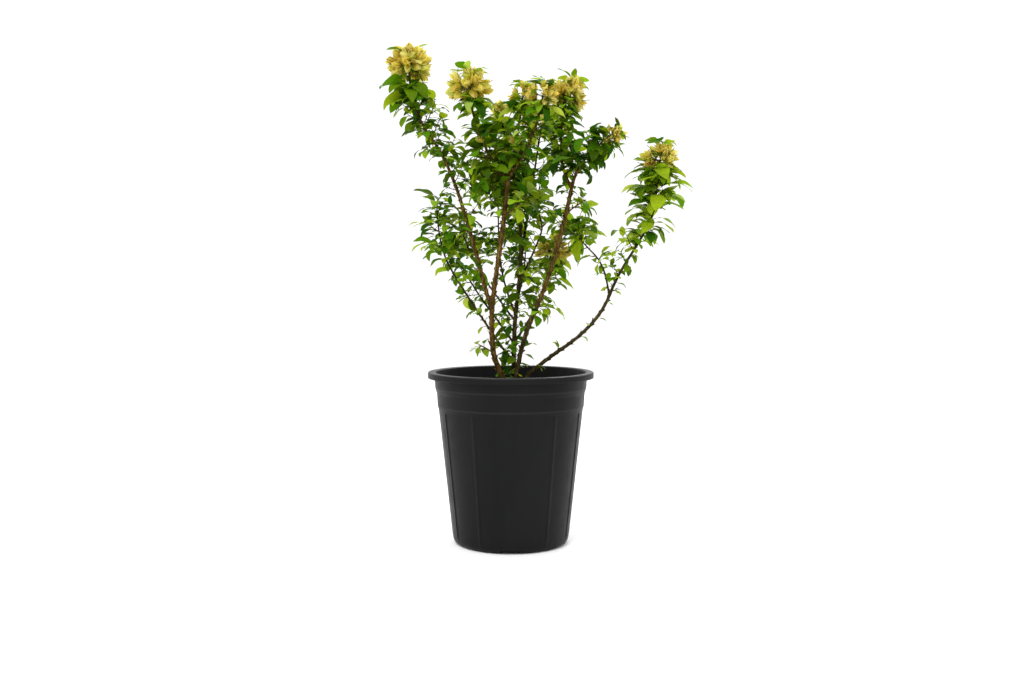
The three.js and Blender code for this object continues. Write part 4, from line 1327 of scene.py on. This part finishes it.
def add_head(limb):
    """Clusters of flowers round the end of a shoot, with leaves between, above and under them"""
    chance = limb.chance
    flowers, size, clusters = limb.head
    members = round(flowers / clusters)
    run = limb.head_at * limb.length
    spot = limb.curve.frame(run / limb.length)
    for axis, stalk in cluster_axes(spot, clusters, chance):
        cluster = Frame(spot.point + axis * size * stalk, axis, CLUSTER_GUIDE)
        add_stalk(limb, spot.point, cluster.point)
        for i in range(members):
            pitch = CLUSTER_SPREAD * math.sqrt((i + 0.5) / members) + stray(chance, CLUSTER_SPREAD_STRAY)
            ahead = unit(cluster.pitched(i * SPIRAL_TURN, pitch) + UP * FLOWER_LIFT)
            root = cluster.point + ahead * size * chance.uniform(*FLOWER_STALK)
            add_stalk(limb, cluster.point, root)
            # Flowers that face down from the shoot get darker bract tones: painted shade
            add_flower(limb, root, ahead, size, shade=0.5 - 0.5 * float(ahead @ spot.ahead))
    add_head_leaves(limb, spot, size, clusters * HEAD_LEAVES["each"])
    add_crest(limb, spot, size)
    add_collar(limb, run - limb.head_foot * size)


def add_head_leaves(limb, spot, size, count):
    """Leaves on the shoot in the gaps between a head's clusters"""
    chance = limb.chance
    for i in range(count):
        turn = CLUSTER_FIRST + i * SPIRAL_TURN
        ahead = spot.pitched(turn, chance.uniform(*HEAD_LEAVES["pitch"]))
        length = chance.uniform(*HEAD_LEAVES["length"])
        root = spot.point + spot.ahead * size * lerp(*HEAD_LEAVES["span"], i / count)
        tone = deal_tone(chance, HEAD_LEAVES["tone"])
        add_leaf(limb, spot, root, turn, ahead, length, tone=tone)


def add_crest(limb, spot, size):
    """The shoot's tip through a head, with a rosette of young leaves on it"""
    chance = limb.chance
    leaves, rise = limb.crest
    root = spot.point + spot.ahead * size * rise
    add_stalk(limb, spot.point, root)
    turn = chance.uniform(0, 360)
    for i in range(leaves):
        aside = turn + i * SPIRAL_TURN
        ahead = spot.pitched(aside, chance.uniform(*CREST_PITCH))
        length = size * chance.uniform(*CREST_LEAF)
        add_leaf(limb, spot, root, aside, ahead, length, CREST_TONE, **CREST_HANG)


def add_collar(limb, run):
    """Full leaves in a ring on the shoot under a head"""
    chance = limb.chance
    turn = chance.uniform(0, 360)
    for i in range(COLLAR_LEAVES):
        spot = limb.curve.frame((run - COLLAR_SPREAD * i / COLLAR_LEAVES) / limb.length)
        aside = turn + i * SPIRAL_TURN
        ahead = leaf_heading(spot, aside, chance.uniform(*COLLAR_PITCH), chance)
        length = limb.leaf[-1] * (1 + stray(chance, LEAF_SIZE_STRAY))
        add_leaf(limb, spot, spot.point, aside, ahead, length, limb.tone + COLLAR_TONE, **COLLAR_HANG)


def add_blooms(limb):
    """Small blooms of a few flowers on side stalks"""
    chance = limb.chance
    for share, turn in limb.blooms:
        spot = limb.curve.frame(share)
        root = spot.point + spot.pitched(turn, TWIG_PITCH) * BLOOM["stalk"]
        add_stalk(limb, spot.point, root)
        for _ in range(BLOOM["flowers"]):
            aside = turn + stray(chance, BLOOM["spread"])
            ahead = spot.pitched(aside, TWIG_PITCH + stray(chance, BLOOM["pitch_stray"]))
            add_flower(limb, root, ahead, BLOOM["radius"], BLOOM["shade"])


def dress(limb):
    """A mass of foliage on the leafy stretch of a limb, and spurs and extra twigs on its bare stretch"""
    if limb.spurs:
        add_spurs(limb)
    for share, turn, length in limb.sprays:
        add_twig(limb, limb.curve, share, turn, length, at_station(limb.leaf, share))
    if limb.leafy == 1:
        return
    limb.add_wood(*tube(limb.curve, (limb.leafy, 1), bark_relief(limb, []), SHOOT_SIDES, SHOOT_RING))
    if limb.head:
        add_head(limb)
    add_blooms(limb)
    for span in leafy_spans(limb):
        if limb.twig:
            add_twigs(limb, span)
        add_leaves(limb, limb.curve, span, limb.leaf, limb.spacing, ROSETTE["share"])


def make_crown(barks):
    """The foliage of each stem with its boughs, in place of their masses, each kind in a piece of its own"""
    looks = {
        "leaves": [leaf_material(*tone) for tone in LEAF_TONES.items()],
        "bracts": [bract_material(*tone) for tone in BRACT_TONES.items()],
        "flower_tubes": [tube_material(*tone) for tone in TUBE_TONES.items()],
        "twigs": [*barks, tube_material("stalk", STALK_TONE)],
    }
    for stem in [limb for limb in limbs.values() if not limb.parent]:
        family = [limb for limb in limbs.values() if limb.stem is stem]
        for limb in family:
            dress(limb)
        masses = [f"foliage_{limb.name}" for limb in family if limb.leafy < 1]
        slots = {"leaves": "foliage", "twigs": stem.wood, "bracts": "bract", "flower_tubes": "flower_tube"}
        for kind, batch in stem.crown.items():
            place(batch.make(f"{kind}_{stem.name}", looks[kind]), slots[kind], masses)


# Stage


def make_camera():
    data = bpy.data.cameras.new("camera")
    data.lens = CAMERA_LENS
    camera = link("camera", data)
    camera.location = Vector(CAMERA_PLACE) * MM
    camera.rotation_euler = (math.radians(90 - CAMERA_PITCH), 0, 0)
    bpy.context.scene.camera = camera


def make_lights():
    for name, (spot, power) in LIGHTS.items():
        data = bpy.data.lights.new(name, "AREA")
        data.shape = "DISK"
        data.size = LIGHT_SIZE
        data.energy = power
        light = link(name, data)
        light.location = spot
        light.rotation_euler = (Vector(LIGHT_AIM) - Vector(spot)).to_track_quat("-Z", "Y").to_euler()


def make_stage():
    mesh = bpy.data.meshes.new("floor")
    corners = [(x * FLOOR_REACH, y * FLOOR_REACH, 0) for x, y in ((-1, -1), (1, -1), (1, 1), (-1, 1))]
    mesh.from_pydata(corners, [], [(0, 1, 2, 3)])
    mesh.materials.append(grained_material("floor_pale", FLOOR_STOPS, **FLOOR_FINISH))
    floor = link("floor", mesh)
    floor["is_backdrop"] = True
    world = bpy.data.worlds.new("studio")
    world.use_nodes = True
    backdrop = world.node_tree.nodes["Background"]
    backdrop.inputs["Color"].default_value = (1, 1, 1, 1)
    backdrop.inputs["Strength"].default_value = WORLD_STRENGTH
    bpy.context.scene.world = world
    bpy.context.scene.view_settings.view_transform = "Standard"


make_camera()
make_stage()
make_lights()
make_pot()
make_mix()
make_chips()
make_crown(make_bark())

boxes = {"cad": cad_box, "visual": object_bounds()}
{name: [list(corner) for corner in box] for name, box in boxes.items()}
